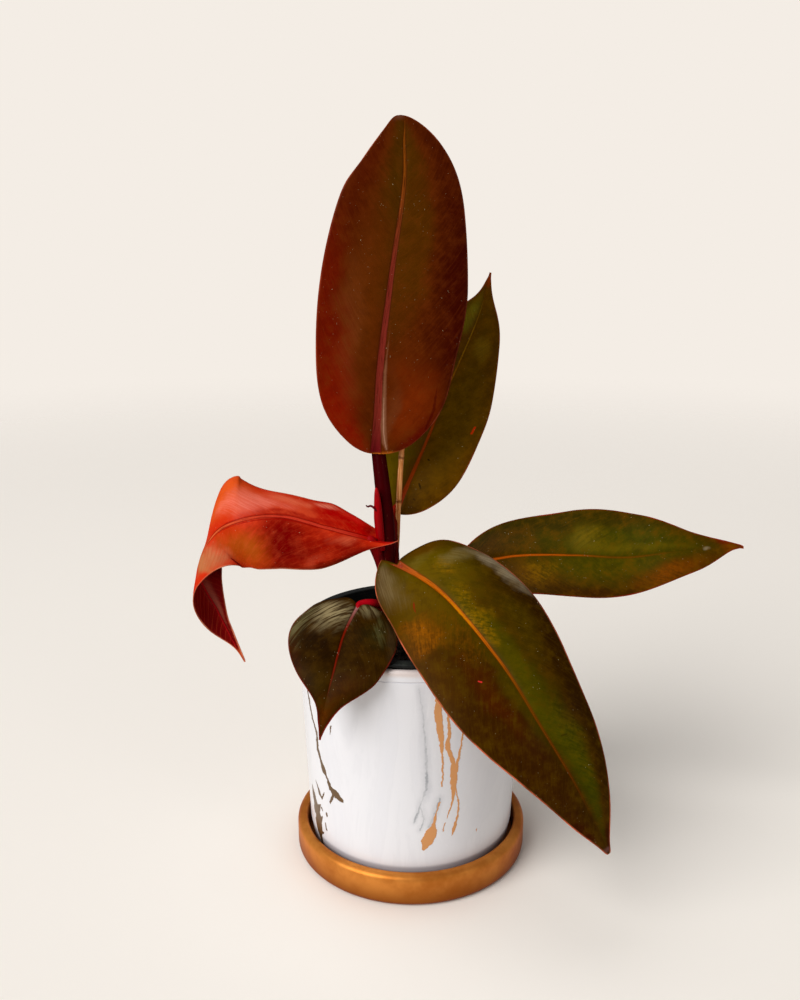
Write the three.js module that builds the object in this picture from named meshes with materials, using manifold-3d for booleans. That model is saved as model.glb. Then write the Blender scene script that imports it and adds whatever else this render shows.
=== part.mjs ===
// Philodendron with orange young leaves, potted in a white ceramic pot on a copper-gold saucer.
// Millimetres, +Z up, -Y towards the front. The origin is the middle of the saucer's underside.
import * as THREE from 'three';
import { mergeVertices } from 'three/addons/utils/BufferGeometryUtils.js';
import Module from 'manifold-3d';

const wasm = await Module();
wasm.setup();

// Clearance kept between two pieces that touch, and the number of facets round the vessels.
const clearance = 0.3;
const vesselFacets = 40;

// Vessels. Radii are outside radii. The grower's pot hangs by its lip on the ceramic pot's rim.
const saucer = { radius: 68, height: 18.5, wall: 6, floor: 5, edge: 3.6, innerEdge: 1.6 };
const ceramicPot = { rimRadius: 65, baseRadius: 59.5, height: 132.3, wall: 4.5, floor: 6, edge: 4, lip: 1.8 };
const nurseryPot = {
  lipRadius: 62.4,
  lipThickness: 2.6,
  bodyRadius: 58,
  baseRadius: 46,
  depth: 114,
  wall: 1.5,
  floor: 2,
  edge: 3,
};
const soil = { belowLip: 9, mound: 3, edgeDrop: 2 };

// The main stem stands in a plain hole in the soil. Each row is x, y, z and the radius there.
const mainStem = {
  rows: [[-11, -3, 104, 5.5], [-11, -3, 126, 6.8], [-11.5, -3, 140, 7.4], [-12.5, -2, 155, 7.4],
    [-14, -1, 170, 5.5]],
  sides: 14,
  steps: 10,
};

// Split-bamboo stake: from its foot in the soil to its top behind the tall leaf.
const stake = { foot: [-13.2, 8.6, 88], top: [-3.4, 10.6, 282], radius: 1.8, sides: 10 };

// Blades are this thick, and their midrib stands out below by ribHeight over ribWidth at the base.
const blade = { thickness: 0.9, ribHeight: 1.6, ribWidth: 3, across: 10, along: 18 };

// Every list of a leaf runs from its base to its tip in even steps, through which a smooth curve is drawn.
// rib: the midrib in space. faces: where the upper side looks. left, right: half widths, seen with the tip
// up, at stations that crowd towards both ends. lift: how many degrees the left and right half rise from
// the midrib. bend: how many degrees they then curve down to the margin. lobe: how far the left and right
// half reach back past the stalk. wave: height and number of the margin's waves.
// stalk: its rows are x, y, z and radius, from the main stem up to the last one before the blade. seat: how
// far behind and how far under the midrib's foot the stalk ends, and its radius there.
const leaves = {
  leaf_upright: {
    rib: [[-19, 2, 237.4], [-17.7, 5, 283], [-11.4, 10, 329.3], [-3.4, 15, 381], [-7.2, 19, 414.2]],
    faces: [[0, -1, 0.15], [0.05, -1, 0.1], [0.1, -1, 0.1]],
    left: [2, 16.9, 30.3, 35.6, 37.6, 33.8, 21.8, 8.8, 0.5],
    right: [2, 20.5, 35.6, 40.6, 41.9, 32.8, 19.3, 8.3, 0.5],
    lift: [[8, 8], [6, 6], [4, 4]],
    bend: [[10, 10], [10, 10]],
    lobe: [0, 0],
    wave: [0.5, 3],
    stalk: [[-13, -1, 142, 4.8], [-14.5, -0.5, 170, 5], [-15, 0, 190, 4.4], [-17, 1.5, 214, 3.8]],
    seat: [-3, 5.8, 3.2],
    colour: 0x5e2212,
  },
  leaf_back: {
    rib: [[-6.8, 17, 205.5], [8.6, 29, 237.6], [21.5, 42, 268], [38.5, 53, 307], [46.6, 63, 333]],
    faces: [[0, -1, 0.5], [0.1, -1, 0.45], [0.3, -1, 0.3]],
    left: [2, 12.1, 21.7, 26.1, 25.8, 18.6, 5.2, 1, 0.5],
    right: [3.8, 16.2, 25.7, 28.1, 27.4, 18, 6.1, 1.6, 0.5],
    lift: [[14, 14], [12, 12]],
    bend: [[16, 16], [16, 16]],
    lobe: [4, 6],
    wave: [0.5, 3],
    stalk: [[-12, 1, 145, 3.6], [-16, 7, 166, 3], [-13.5, 13, 182, 2.7]],
    seat: [-2.5, 4.8, 2.4],
    colour: 0x4a4a12,
  },
  leaf_red: {
    rib: [[-21.9, -8.7, 191.1], [-46.5, -12.1, 199.4], [-70.8, -12.6, 206.2], [-93.5, -15.6, 204.6],
      [-110.3, -9.8, 193.2], [-118.5, -13.9, 171.9], [-106.7, -13.9, 147.3], [-94.2, -15.6, 121.1]],
    faces: [[0.33, -0.61, 0.72], [0.28, -0.55, 0.79], [0.11, -0.58, 0.81], [-0.59, -0.72, 0.38],
      [-0.95, -0.11, 0.31], [-0.54, 0.78, -0.31], [0.51, 0.84, 0.19]],
    left: [2, 7.6, 23.7, 29.3, 26.8, 18.1, 10.5, 1.6, 0.5],
    right: [6, 11.7, 21.2, 28.7, 29, 20.4, 4.4, 1.6, 0.5],
    lift: [[-21.4, -1.7], [-14, -4.8], [-7.9, -7.7], [-8, -8.6], [-9.1, -10.6], [3.8, -1.3], [31.1, 17]],
    bend: [[54.2, 18.7], [58.6, 19], [56, 18.5], [48.9, 17.3], [39.1, 21.6], [24.4, 19.2], [3.3, 10.8]],
    lobe: [12.7, 3.4],
    wave: [0.5, 3],
    stalk: [[-14, -1, 150, 3.6], [-16.5, -2.5, 172, 3]],
    seat: [0.5, 4.2, 2.3],
    colour: 0xc83c24,
  },
  leaf_heart: {
    rib: [[-29, -31.9, 160.5], [-36.2, -49.8, 151.6], [-41.4, -66.6, 136.4], [-45.2, -74.6, 120.1],
      [-47.4, -74.6, 104.6]],
    faces: [[-0.1, -0.5, 0.85], [-0.1, -0.85, 0.5], [-0.1, -1, 0.15]],
    left: [6.6, 19.6, 27.1, 28.8, 23, 8.7, 3, 0.8, 0.5],
    right: [10.8, 23.5, 27.2, 28.4, 19.8, 5.5, 1.9, 0.8, 0.5],
    lift: [[6, 6], [8, 8], [8, 8]],
    bend: [[30, 30], [16, 16], [6, 6]],
    lobe: [3.4, 5.6],
    wave: [0.5, 3],
    stalk: [[-12, -7, 138, 3], [-11, -16, 152, 2.5], [-20, -27, 160.6, 2.2]],
    seat: [2.6, 0.5, 1.8],
    colour: 0x2e2c14,
  },
  leaf_front: {
    rib: [[-8.3, -20, 180.8], [17.1, -43, 170.9], [43, -70, 147.2], [61.4, -89, 122.6], [81.4, -96, 90.4],
      [98, -98, 54.4]],
    faces: [[-0.2, -0.55, 0.8], [0.1, -0.75, 0.65], [0.3, -0.9, 0.3]],
    left: [5, 25.8, 33.3, 37.9, 31.3, 25.7, 14.1, 4.1, 0.5],
    right: [3.5, 20.3, 30.1, 36.7, 36.6, 25.1, 14.4, 4.4, 0.5],
    lift: [[10, 8], [8, 8], [8, 8]],
    bend: [[34, 34], [20, 20], [14, 14]],
    lobe: [0.6, 9.1],
    wave: [0.5, 3],
    stalk: [[-12, -4, 140, 3.8], [-11.5, -9, 158, 3.3]],
    seat: [-3, 2.6, 3],
    colour: 0x4a4210,
  },
  leaf_right: {
    rib: [[30.4, 18, 166.8], [60.3, 14, 174.7], [92.7, 9, 176.5], [123.2, 4, 176.4], [152, 0, 181.2],
      [187.2, 0, 183.7]],
    faces: [[0.1, -0.8, 0.6], [0, -0.85, 0.55], [0, -0.9, 0.5]],
    left: [4, 11.7, 19.2, 24, 28.1, 23.5, 10.2, 3.7, 0.5],
    right: [4.8, 13.1, 22, 24.3, 24.4, 18.4, 11.1, 1.2, 0.5],
    lift: [[12, 12], [12, 12], [10, 10]],
    bend: [[20, 20], [20, 20]],
    lobe: [0.7, 0],
    wave: [0.5, 3],
    stalk: [[-11, 0, 140, 3.6], [3, 8, 153, 3], [17, 15, 160, 2.8]],
    seat: [-2.5, 4.9, 2.5],
    colour: 0x3c4414,
  },
};

// Red sheath of the next leaf, in front of the tall leaf's stalk, and the thin dried curl that leaves it.
const newLeafSheath = {
  rows: [[-17, -6.6, 196, 2], [-18, -6.9, 203, 2.5], [-18.8, -5.8, 211, 1.9], [-19.6, -5, 220, 0.5]],
  curl: [[-19.5, -6.4, 207, 0.6], [-21.5, -7, 210.4, 0.6], [-24, -7, 210.6, 0.6], [-25.4, -7, 209.4, 0.5]],
  sides: 8,
  steps: 8,
};

// A smooth curve through rows of numbers, read at t from 0 to 1. Rows hold up to three numbers.
function along(rows, t) {
  const points = rows.map((row) => new THREE.Vector3(...[row].flat(), 0, 0));
  return new THREE.CatmullRomCurve3(points, false, 'catmullrom', 0.5).getPoint(t);
}

function vector(row) {
  return new THREE.Vector3(row[0], row[1], row[2]);
}

// Keeps positions and triangles alone, joins shared vertices and drops triangles of no area.
function closedGeometry(geometry) {
  const bare = new THREE.BufferGeometry();
  bare.setAttribute('position', geometry.getAttribute('position'));
  bare.setIndex(geometry.getIndex());
  const merged = mergeVertices(bare, 1e-4);
  const corners = Array.from(merged.getIndex().array);
  const kept = [];
  for (let i = 0; i < corners.length; i += 3) {
    const [a, b, c] = corners.slice(i, i + 3);
    if (a !== b && b !== c && c !== a) {
      kept.push(a, b, c);
    }
  }
  merged.setIndex(kept);
  return merged;
}

function toManifold(geometry) {
  const closed = closedGeometry(geometry);
  return new wasm.Manifold(new wasm.Mesh({
    numProp: 3,
    vertProperties: new Float32Array(closed.getAttribute('position').array),
    triVerts: new Uint32Array(closed.getIndex().array),
  }));
}

function fromManifold(solid) {
  const mesh = solid.getMesh();
  const geometry = new THREE.BufferGeometry();
  geometry.setAttribute('position', new THREE.BufferAttribute(new Float32Array(mesh.vertProperties), 3));
  geometry.setIndex(Array.from(mesh.triVerts));
  return geometry;
}

// Turns a path of radius and height about the Z axis.
function turned(path, curveSteps = 5) {
  const lathe = new THREE.LatheGeometry(path.getPoints(curveSteps), vesselFacets);
  lathe.rotateX(Math.PI / 2);
  return closedGeometry(lathe);
}

// A round stick along rows of x, y, z and radius.
function taperedStick(rows, sides, steps) {
  const path = new THREE.CatmullRomCurve3(rows.map(vector));
  const radii = rows.map((row) => row[3]);
  const frames = path.computeFrenetFrames(steps);
  const stick = new THREE.CylinderGeometry(1, 1, 1, sides, steps);
  const place = stick.getAttribute('position');
  for (let i = 0; i < place.count; i += 1) {
    const ring = Math.round((place.getY(i) + 0.5) * steps);
    const t = path.getUtoTmapping(ring / steps);
    const radius = along(radii, t).x;
    const point = path.getPoint(t);
    point.addScaledVector(frames.normals[ring], place.getX(i) * radius);
    point.addScaledVector(frames.binormals[ring], -place.getZ(i) * radius);
    place.setXYZ(i, point.x, point.y, point.z);
  }
  return closedGeometry(stick);
}

// The midrib's point, its direction, the way to the leaf's right and the way its upper side looks.
function ribFrame(leaf, v) {
  const step = 0.001;
  const point = along(leaf.rib, v);
  const before = along(leaf.rib, Math.max(v - step, 0));
  const ahead = along(leaf.rib, Math.min(v + step, 1)).sub(before).normalize();
  const right = ahead.clone().cross(along(leaf.faces, v)).normalize();
  const up = right.clone().cross(ahead);
  return { point, ahead, right, up };
}

// A point of the blade's middle surface: u runs from -1 at the left margin to 1 at the right one, and
// station from 0 at the base to 1 at the tip.
function bladePoint(leaf, u, station) {
  const v = (1 - Math.cos(Math.PI * station)) / 2;
  const { point, ahead, right, up } = ribFrame(leaf, v);
  const half = u < 0 ? 'x' : 'y';
  const out = Math.abs(u);
  const width = along(u < 0 ? leaf.left : leaf.right, station).x;
  const angle = THREE.MathUtils.degToRad(along(leaf.lift, v)[half] - (along(leaf.bend, v)[half] * out) / 2);
  const lobe = u < 0 ? leaf.lobe[0] : leaf.lobe[1];
  const lobeEnd = 0.45;
  const reachBack = lobe * Math.max(0, 1 - station / lobeEnd) ** 2 * (1 - (1 - out) ** 2);
  const [waveHeight, waves] = leaf.wave;
  const swing = Math.sin(2 * Math.PI * waves * station + u) * Math.sin(Math.PI * station);
  const wave = waveHeight * swing * out ** 3;
  point.addScaledVector(right, Math.sign(u) * width * out * Math.cos(angle));
  point.addScaledVector(up, width * out * Math.sin(angle) + wave);
  point.addScaledVector(ahead, -reachBack);
  return point;
}

// A sheet of points given a top and a bottom, triangulated alike, and closed round its border.
function thickened(sheet, across, down, above, below) {
  sheet.computeVertexNormals();
  const place = sheet.getAttribute('position');
  const normal = sheet.getAttribute('normal');
  const count = place.count;
  const points = [];
  const addSide = (offset) => {
    for (let i = 0; i < count; i += 1) {
      const away = vector([normal.getX(i), normal.getY(i), normal.getZ(i)]).multiplyScalar(offset(i));
      points.push(place.getX(i) + away.x, place.getY(i) + away.y, place.getZ(i) + away.z);
    }
  };
  addSide(above);
  addSide((i) => -below(i));
  const top = Array.from(sheet.getIndex().array);
  const corners = [...top];
  for (let i = 0; i < top.length; i += 3) {
    corners.push(top[i] + count, top[i + 2] + count, top[i + 1] + count);
  }
  const border = [];
  const at = (row, column) => row * (across + 1) + column;
  for (let row = 0; row < down; row += 1) {
    border.push(at(row, 0));
  }
  for (let column = 0; column < across; column += 1) {
    border.push(at(down, column));
  }
  for (let row = down; row > 0; row -= 1) {
    border.push(at(row, across));
  }
  for (let column = across; column > 0; column -= 1) {
    border.push(at(0, column));
  }
  border.forEach((here, i) => {
    const next = border[(i + 1) % border.length];
    corners.push(here, here + count, next + count);
    corners.push(here, next + count, next);
  });
  const geometry = new THREE.BufferGeometry();
  geometry.setAttribute('position', new THREE.Float32BufferAttribute(points, 3));
  geometry.setIndex(corners);
  return geometry;
}

// The blade with its midrib on the underside. grown makes it that much bigger all round, for clearance.
function bladeGeometry(leaf, grown = 0) {
  const crowding = 1.4;
  const sheet = new THREE.PlaneGeometry(2, 1, blade.across, blade.along);
  const place = sheet.getAttribute('position');
  const wide = grown === 0 ? leaf : {
    ...leaf,
    left: leaf.left.map((width) => width + grown),
    right: leaf.right.map((width) => width + grown),
  };
  const ribs = [];
  for (let i = 0; i < place.count; i += 1) {
    const u = Math.sign(place.getX(i)) * Math.abs(place.getX(i)) ** crowding;
    const station = place.getY(i) + 0.5;
    const width = along(u < 0 ? wide.left : wide.right, station).x;
    const fade = (1 - station) ** 1.5;
    const offRib = (2 * u * width) / blade.ribWidth;
    ribs.push(blade.ribHeight * fade * Math.exp(-offRib * offRib));
    const point = bladePoint(wide, u, station);
    if (station === 0) {
      point.addScaledVector(ribFrame(leaf, 0).ahead, -grown);
    }
    place.setXYZ(i, point.x, point.y, point.z);
  }
  const half = blade.thickness / 2 + grown;
  return thickened(sheet, blade.across, blade.along, () => half, (i) => half + ribs[i]);
}

// A leaf's stalk ends at its seat, close to the foot of the midrib.
function stalkRows(leaf) {
  const { point, ahead, up } = ribFrame(leaf, 0);
  const [behind, under, radius] = leaf.seat;
  point.addScaledVector(ahead, -behind).addScaledVector(up, -under);
  return [...leaf.stalk, [point.x, point.y, point.z, radius]];
}

function saucerGeometry() {
  const { radius, height, wall, floor, edge, innerEdge } = saucer;
  const inner = radius - wall;
  const path = new THREE.Path();
  path.moveTo(0, 0);
  path.lineTo(radius - edge, 0);
  path.quadraticCurveTo(radius, 0, radius, edge);
  path.lineTo(radius, height - edge);
  path.quadraticCurveTo(radius, height, radius - edge, height);
  path.lineTo(inner + innerEdge, height);
  path.quadraticCurveTo(inner, height, inner, height - innerEdge);
  path.lineTo(inner, floor + innerEdge);
  path.quadraticCurveTo(inner, floor, inner - innerEdge, floor);
  path.lineTo(0, floor);
  return turned(path, 4);
}

const potFoot = saucer.floor + clearance;
const potRim = potFoot + ceramicPot.height;

function ceramicPotGeometry() {
  const { rimRadius, baseRadius, wall, floor, edge, lip } = ceramicPot;
  const inner = baseRadius - wall;
  const path = new THREE.Path();
  path.moveTo(0, potFoot);
  path.lineTo(baseRadius - edge, potFoot);
  path.quadraticCurveTo(baseRadius, potFoot, baseRadius + 0.2, potFoot + edge);
  path.lineTo(rimRadius, potRim - lip);
  path.quadraticCurveTo(rimRadius, potRim, rimRadius - lip, potRim);
  path.lineTo(rimRadius - wall + lip, potRim);
  path.quadraticCurveTo(rimRadius - wall, potRim, rimRadius - wall, potRim - lip);
  path.lineTo(inner, potFoot + floor + edge);
  path.quadraticCurveTo(inner, potFoot + floor, inner - edge, potFoot + floor);
  path.lineTo(0, potFoot + floor);
  return turned(path, 3);
}

const nurseryRim = potRim + clearance + nurseryPot.lipThickness;
const nurseryFoot = nurseryRim - nurseryPot.depth;

function nurseryPotGeometry() {
  const { lipRadius, lipThickness, bodyRadius, baseRadius, wall, floor, edge } = nurseryPot;
  const roll = lipThickness / 2;
  const path = new THREE.Path();
  path.moveTo(0, nurseryFoot);
  path.lineTo(baseRadius - edge, nurseryFoot);
  path.quadraticCurveTo(baseRadius, nurseryFoot, baseRadius, nurseryFoot + edge);
  path.lineTo(bodyRadius, nurseryRim - lipThickness);
  path.lineTo(lipRadius - roll, nurseryRim - lipThickness);
  path.quadraticCurveTo(lipRadius, nurseryRim - lipThickness, lipRadius, nurseryRim - roll);
  path.quadraticCurveTo(lipRadius, nurseryRim, lipRadius - roll, nurseryRim);
  path.lineTo(bodyRadius - wall, nurseryRim);
  path.lineTo(baseRadius - wall, nurseryFoot + floor);
  path.lineTo(0, nurseryFoot + floor);
  return turned(path, 2);
}

// The root ball fills the grower's pot to a low mound, with holes for the stem and the stake.
function soilGeometry(holes) {
  const { wall, floor, baseRadius, bodyRadius, depth } = nurseryPot;
  const inside = nurseryFoot + floor;
  const bottom = inside + clearance;
  const slope = (bodyRadius - baseRadius) / (depth - floor);
  const radiusAt = (z) => baseRadius - wall - clearance * 1.5 + slope * (z - inside);
  const top = nurseryRim - soil.belowLip;
  const edgeTop = top - soil.edgeDrop;
  const path = new THREE.Path();
  path.moveTo(0, bottom);
  path.lineTo(radiusAt(bottom), bottom);
  path.lineTo(radiusAt(edgeTop), edgeTop);
  path.quadraticCurveTo(radiusAt(edgeTop) * 0.6, top, 0, top + soil.mound);
  return fromManifold(holes.reduce((body, hole) => body.subtract(hole), toManifold(turned(path))));
}

// The same stick made wider by the clearance, as the tool that cuts its hole.
function wider(rows) {
  return rows.map(([x, y, z, radius], i) => [x, y, i === 0 ? z - clearance : z, radius + clearance]);
}

function stickSolid(rows, sides, steps) {
  return toManifold(taperedStick(rows, sides, steps));
}

const stakeRows = [[...stake.foot, stake.radius], [...stake.top, stake.radius]];

const stemSolid = Object.values(leaves)
  .reduce(
    (body, leaf) => body.add(stickSolid(stalkRows(leaf), 10, 8)),
    stickSolid(mainStem.rows, mainStem.sides, mainStem.steps),
  );
const clearStem = Object.values(leaves)
  .reduce((body, leaf) => body.subtract(toManifold(bladeGeometry(leaf, clearance))), stemSolid);

const sheathSolid = stickSolid(newLeafSheath.rows, newLeafSheath.sides, newLeafSheath.steps)
  .add(stickSolid(newLeafSheath.curl, 6, 6));

const plant = new THREE.Group();

function addPiece(name, geometry, colour, roughness, metalness = 0) {
  const material = new THREE.MeshStandardMaterial({ color: colour, roughness, metalness });
  const mesh = new THREE.Mesh(geometry, material);
  mesh.name = name;
  plant.add(mesh);
}

addPiece('saucer', saucerGeometry(), 0xc07a3a, 0.35, 0.8);
addPiece('ceramic_pot', ceramicPotGeometry(), 0xeeeae6, 0.3);
addPiece('nursery_pot', nurseryPotGeometry(), 0x151515, 0.45);
const stemHole = stickSolid(wider(mainStem.rows), mainStem.sides, mainStem.steps);
const stakeHole = stickSolid(wider(stakeRows), stake.sides, 1);
addPiece('soil', soilGeometry([stemHole, stakeHole]), 0x1c1410, 0.95);
addPiece('bamboo_stake', taperedStick(stakeRows, stake.sides, 1), 0xc89a5c, 0.6);
addPiece('stem', fromManifold(clearStem), 0x4a0c14, 0.3);
Object.entries(leaves).forEach(([name, leaf]) => {
  addPiece(name, bladeGeometry(leaf), leaf.colour, 0.35);
});
addPiece('new_leaf_sheath', fromManifold(sheathSolid), 0xb01c24, 0.3);

export default plant;
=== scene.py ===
# A young philodendron in a white marbled pot on a copper-gold saucer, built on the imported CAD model.
# Sizes are in millimetres, and mm turns them into Blender's metres. +Z is up and -Y faces the camera.
# Tones are screen colours, 0 to 255. A noise is its scale, detail, roughness and distortion. A relief is how
# high a bump pattern stands.
import math
import random

import bmesh
import bpy
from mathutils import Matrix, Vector, noise


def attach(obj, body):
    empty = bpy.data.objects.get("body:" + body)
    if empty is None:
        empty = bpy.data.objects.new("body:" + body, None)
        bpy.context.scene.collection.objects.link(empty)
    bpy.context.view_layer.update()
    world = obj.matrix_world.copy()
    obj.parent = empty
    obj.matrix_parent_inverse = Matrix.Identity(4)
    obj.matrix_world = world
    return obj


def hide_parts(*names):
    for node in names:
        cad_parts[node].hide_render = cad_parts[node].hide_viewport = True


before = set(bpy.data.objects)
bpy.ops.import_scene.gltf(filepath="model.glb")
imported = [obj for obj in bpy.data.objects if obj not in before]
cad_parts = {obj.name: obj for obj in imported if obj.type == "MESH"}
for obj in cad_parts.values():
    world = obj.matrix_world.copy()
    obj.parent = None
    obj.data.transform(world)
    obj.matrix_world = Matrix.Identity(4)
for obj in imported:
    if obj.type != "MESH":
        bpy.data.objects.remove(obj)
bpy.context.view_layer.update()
mm = 0.001
chance = random.Random(11)
noise.seed_set(11)
print("frame loaded")


# Camera: the photograph's own place and angle, with a 35 mm lens.
camera = {"place": (-6.5, -523, 350), "pitch": 75.17, "lens": 35, "sensor": 36, "near": 10, "far": 50000}


def makeCamera():
    lens = bpy.data.cameras.new("camera")
    lens.lens = camera["lens"]
    lens.sensor_width = camera["sensor"]
    lens.clip_start = camera["near"] * mm
    lens.clip_end = camera["far"] * mm
    stand = bpy.data.objects.new("camera", lens)
    stand.location = Vector(camera["place"]) * mm
    stand.rotation_euler = (math.radians(camera["pitch"]), 0, 0)
    bpy.context.scene.collection.objects.link(stand)
    bpy.context.scene.camera = stand


def colour(tone):
    # A screen colour as the linear colour that a shader takes.
    shares = [part / 255 for part in tone]
    linear = [((share + 0.055) / 1.055) ** 2.4 if share > 0.04 else share / 12.92 for share in shares]
    return (*linear, 1.0)


# Shader maths: a Wire is a node's output, on which Python's operators add Math nodes.
class Wire:
    def __init__(self, paint, socket):
        self.paint = paint
        self.socket = socket

    def __add__(self, other):
        return self.paint.maths("ADD", self, other)

    def __radd__(self, other):
        return self.paint.maths("ADD", other, self)

    def __sub__(self, other):
        return self.paint.maths("SUBTRACT", self, other)

    def __rsub__(self, other):
        return self.paint.maths("SUBTRACT", other, self)

    def __mul__(self, other):
        return self.paint.maths("MULTIPLY", self, other)

    def __rmul__(self, other):
        return self.paint.maths("MULTIPLY", other, self)

    def __pow__(self, other):
        return self.paint.maths("POWER", self, other)

    def __abs__(self):
        return self.paint.maths("ABSOLUTE", self, 0)


class Paint:
    def __init__(self, name, **fixed):
        # fixed: what is the same all over the surface, set on the shader's own sockets.
        self.material = bpy.data.materials.new(name)
        self.material.use_nodes = True
        self.tree = self.material.node_tree
        self.shader = self.tree.nodes["Principled BSDF"]
        for socket, value in fixed.items():
            self.shader.inputs[socket.replace("_", " ")].default_value = value

    def node(self, kind, settings, inputs, output=0):
        made = self.tree.nodes.new(kind)
        for name, value in settings.items():
            setattr(made, name, value)
        for name, value in inputs.items():
            if isinstance(value, Wire):
                self.tree.links.new(value.socket, made.inputs[name])
            else:
                made.inputs[name].default_value = value
        return Wire(self, made.outputs[output])

    def feed(self, socket, value):
        self.tree.links.new(value.socket, self.shader.inputs[socket])

    def place(self):
        return self.node("ShaderNodeTexCoord", {}, {}, "Object")

    def attribute(self, name, output="Fac"):
        return self.node("ShaderNodeAttribute", {"attribute_name": name}, {}, output)

    def part(self, vector, axis):
        return self.node("ShaderNodeSeparateXYZ", {}, {0: vector}, axis)

    def vector(self, x, y, z):
        return self.node("ShaderNodeCombineXYZ", {}, {0: x, 1: y, 2: z})

    def arrow(self, operation, first, second, output=0):
        # Vector maths. The output is "Value" where the result is a number.
        return self.node("ShaderNodeVectorMath", {"operation": operation}, {0: first, 1: second}, output)

    def maths(self, operation, first, second):
        return self.node("ShaderNodeMath", {"operation": operation}, {0: first, 1: second})

    def step(self, value, low, high):
        # Goes smoothly from 0 at low to 1 at high; low may be the greater of the two.
        smooth = {"interpolation_type": "SMOOTHSTEP"}
        return self.node("ShaderNodeMapRange", smooth, {0: value, 1: low, 2: high})

    def cloud(self, place, scale, detail=2.0, rough=0.5, bend=0.0, output=0):
        sizes = {"Vector": place, "Scale": scale, "Detail": detail, "Roughness": rough, "Distortion": bend}
        return self.node("ShaderNodeTexNoise", {}, sizes, output)

    def wander(self, place, sizes, reach):
        # How far a pattern strays from its place: up to half of reach either way.
        stray = self.arrow("SUBTRACT", self.cloud(place, *sizes, output=1), (0.5, 0.5, 0.5))
        return self.arrow("MULTIPLY", stray, reach)

    def mix(self, below, above, share):
        tones = [tone if isinstance(tone, Wire) else colour(tone) for tone in (below, above)]
        return self.node("ShaderNodeMix", {"data_type": "RGBA"}, {0: share, 6: tones[0], 7: tones[1]}, 2)

    def bump(self, height, distance):
        return self.node("ShaderNodeBump", {}, {"Height": height, "Distance": distance * mm})


# Mesh helpers. bevelSteps: in a rounded corner. longest: step of a turned profile, short so that the shading
# of a rounded corner stays off the flat wall beside it. look: how far along a curve its direction is read.
# thinnest: radius where a tube closes. hollowing: how sharply a groove is cut. merge: in metres.
meshing = {"bevelSteps": 6, "longest": 3, "look": 0.002, "thinnest": 0.01, "hollowing": 6, "merge": 1e-6}


def addPiece(name, shell, material, replaced):
    bmesh.ops.recalc_face_normals(shell, faces=shell.faces)
    for face in shell.faces:
        face.smooth = True
    mesh = bpy.data.meshes.new(name)
    shell.to_mesh(mesh)
    shell.free()
    mesh.materials.append(material)
    piece = bpy.data.objects.new(name, mesh)
    bpy.context.scene.collection.objects.link(piece)
    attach(piece, "root")
    if replaced:
        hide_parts(replaced)


def along(rows, t):
    # A smooth curve through evenly spaced rows, read at t from 0 to 1, as in the CAD source.
    rows = [Vector(row) if isinstance(row, (list, tuple)) else row for row in rows]
    last = len(rows) - 1
    place = min(max(t, 0.0), 1.0) * last
    i = min(int(place), last - 1)
    w = place - i
    start, end = rows[i], rows[i + 1]
    before = rows[i - 1] if i > 0 else 2 * start - end
    after = rows[i + 2] if i + 2 <= last else 2 * end - start
    leave, arrive = (end - before) / 2, (after - start) / 2
    curve = (3 * (end - start) - 2 * leave - arrive) * w**2 + (2 * (start - end) + leave + arrive) * w**3
    return start + leave * w + curve


def spinShell(shell, steps):
    bmesh.ops.spin(shell, geom=shell.verts[:] + shell.edges[:], cent=(0, 0, 0), axis=(0, 0, 1),
                   angle=math.tau, steps=steps, use_merge=True)
    bmesh.ops.remove_doubles(shell, verts=shell.verts, dist=meshing["merge"])


def profileShell(spots):
    # An open line in the XZ plane through spots of radius and height.
    shell = bmesh.new()
    points = [shell.verts.new((radius * mm, 0, height * mm)) for radius, height in spots]
    for first, second in zip(points, points[1:]):
        shell.edges.new((first, second))
    return shell, points


def turnedShell(corners, steps):
    # Spins a profile about Z. Each corner is radius, height and how much it is rounded.
    shell, points = profileShell([corner[:2] for corner in corners])
    for point, (_, _, bevel) in zip(points, corners):
        if bevel:
            bmesh.ops.bevel(shell, geom=[point], offset=bevel * mm, offset_type="OFFSET", affect="VERTICES",
                            segments=meshing["bevelSteps"], profile=0.5, material=-1)
    for edge in shell.edges[:]:
        cuts = int(edge.calc_length() / (meshing["longest"] * mm))
        if cuts:
            bmesh.ops.subdivide_edges(shell, edges=[edge], cuts=cuts)
    spinShell(shell, steps)
    return shell


def endRounding(t, length):
    # How much of its radius a tube has at t where its end rounds off over length.
    return math.sqrt(max(0, 1 - (1 - t / length) ** 2)) if t < length else 1


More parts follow.
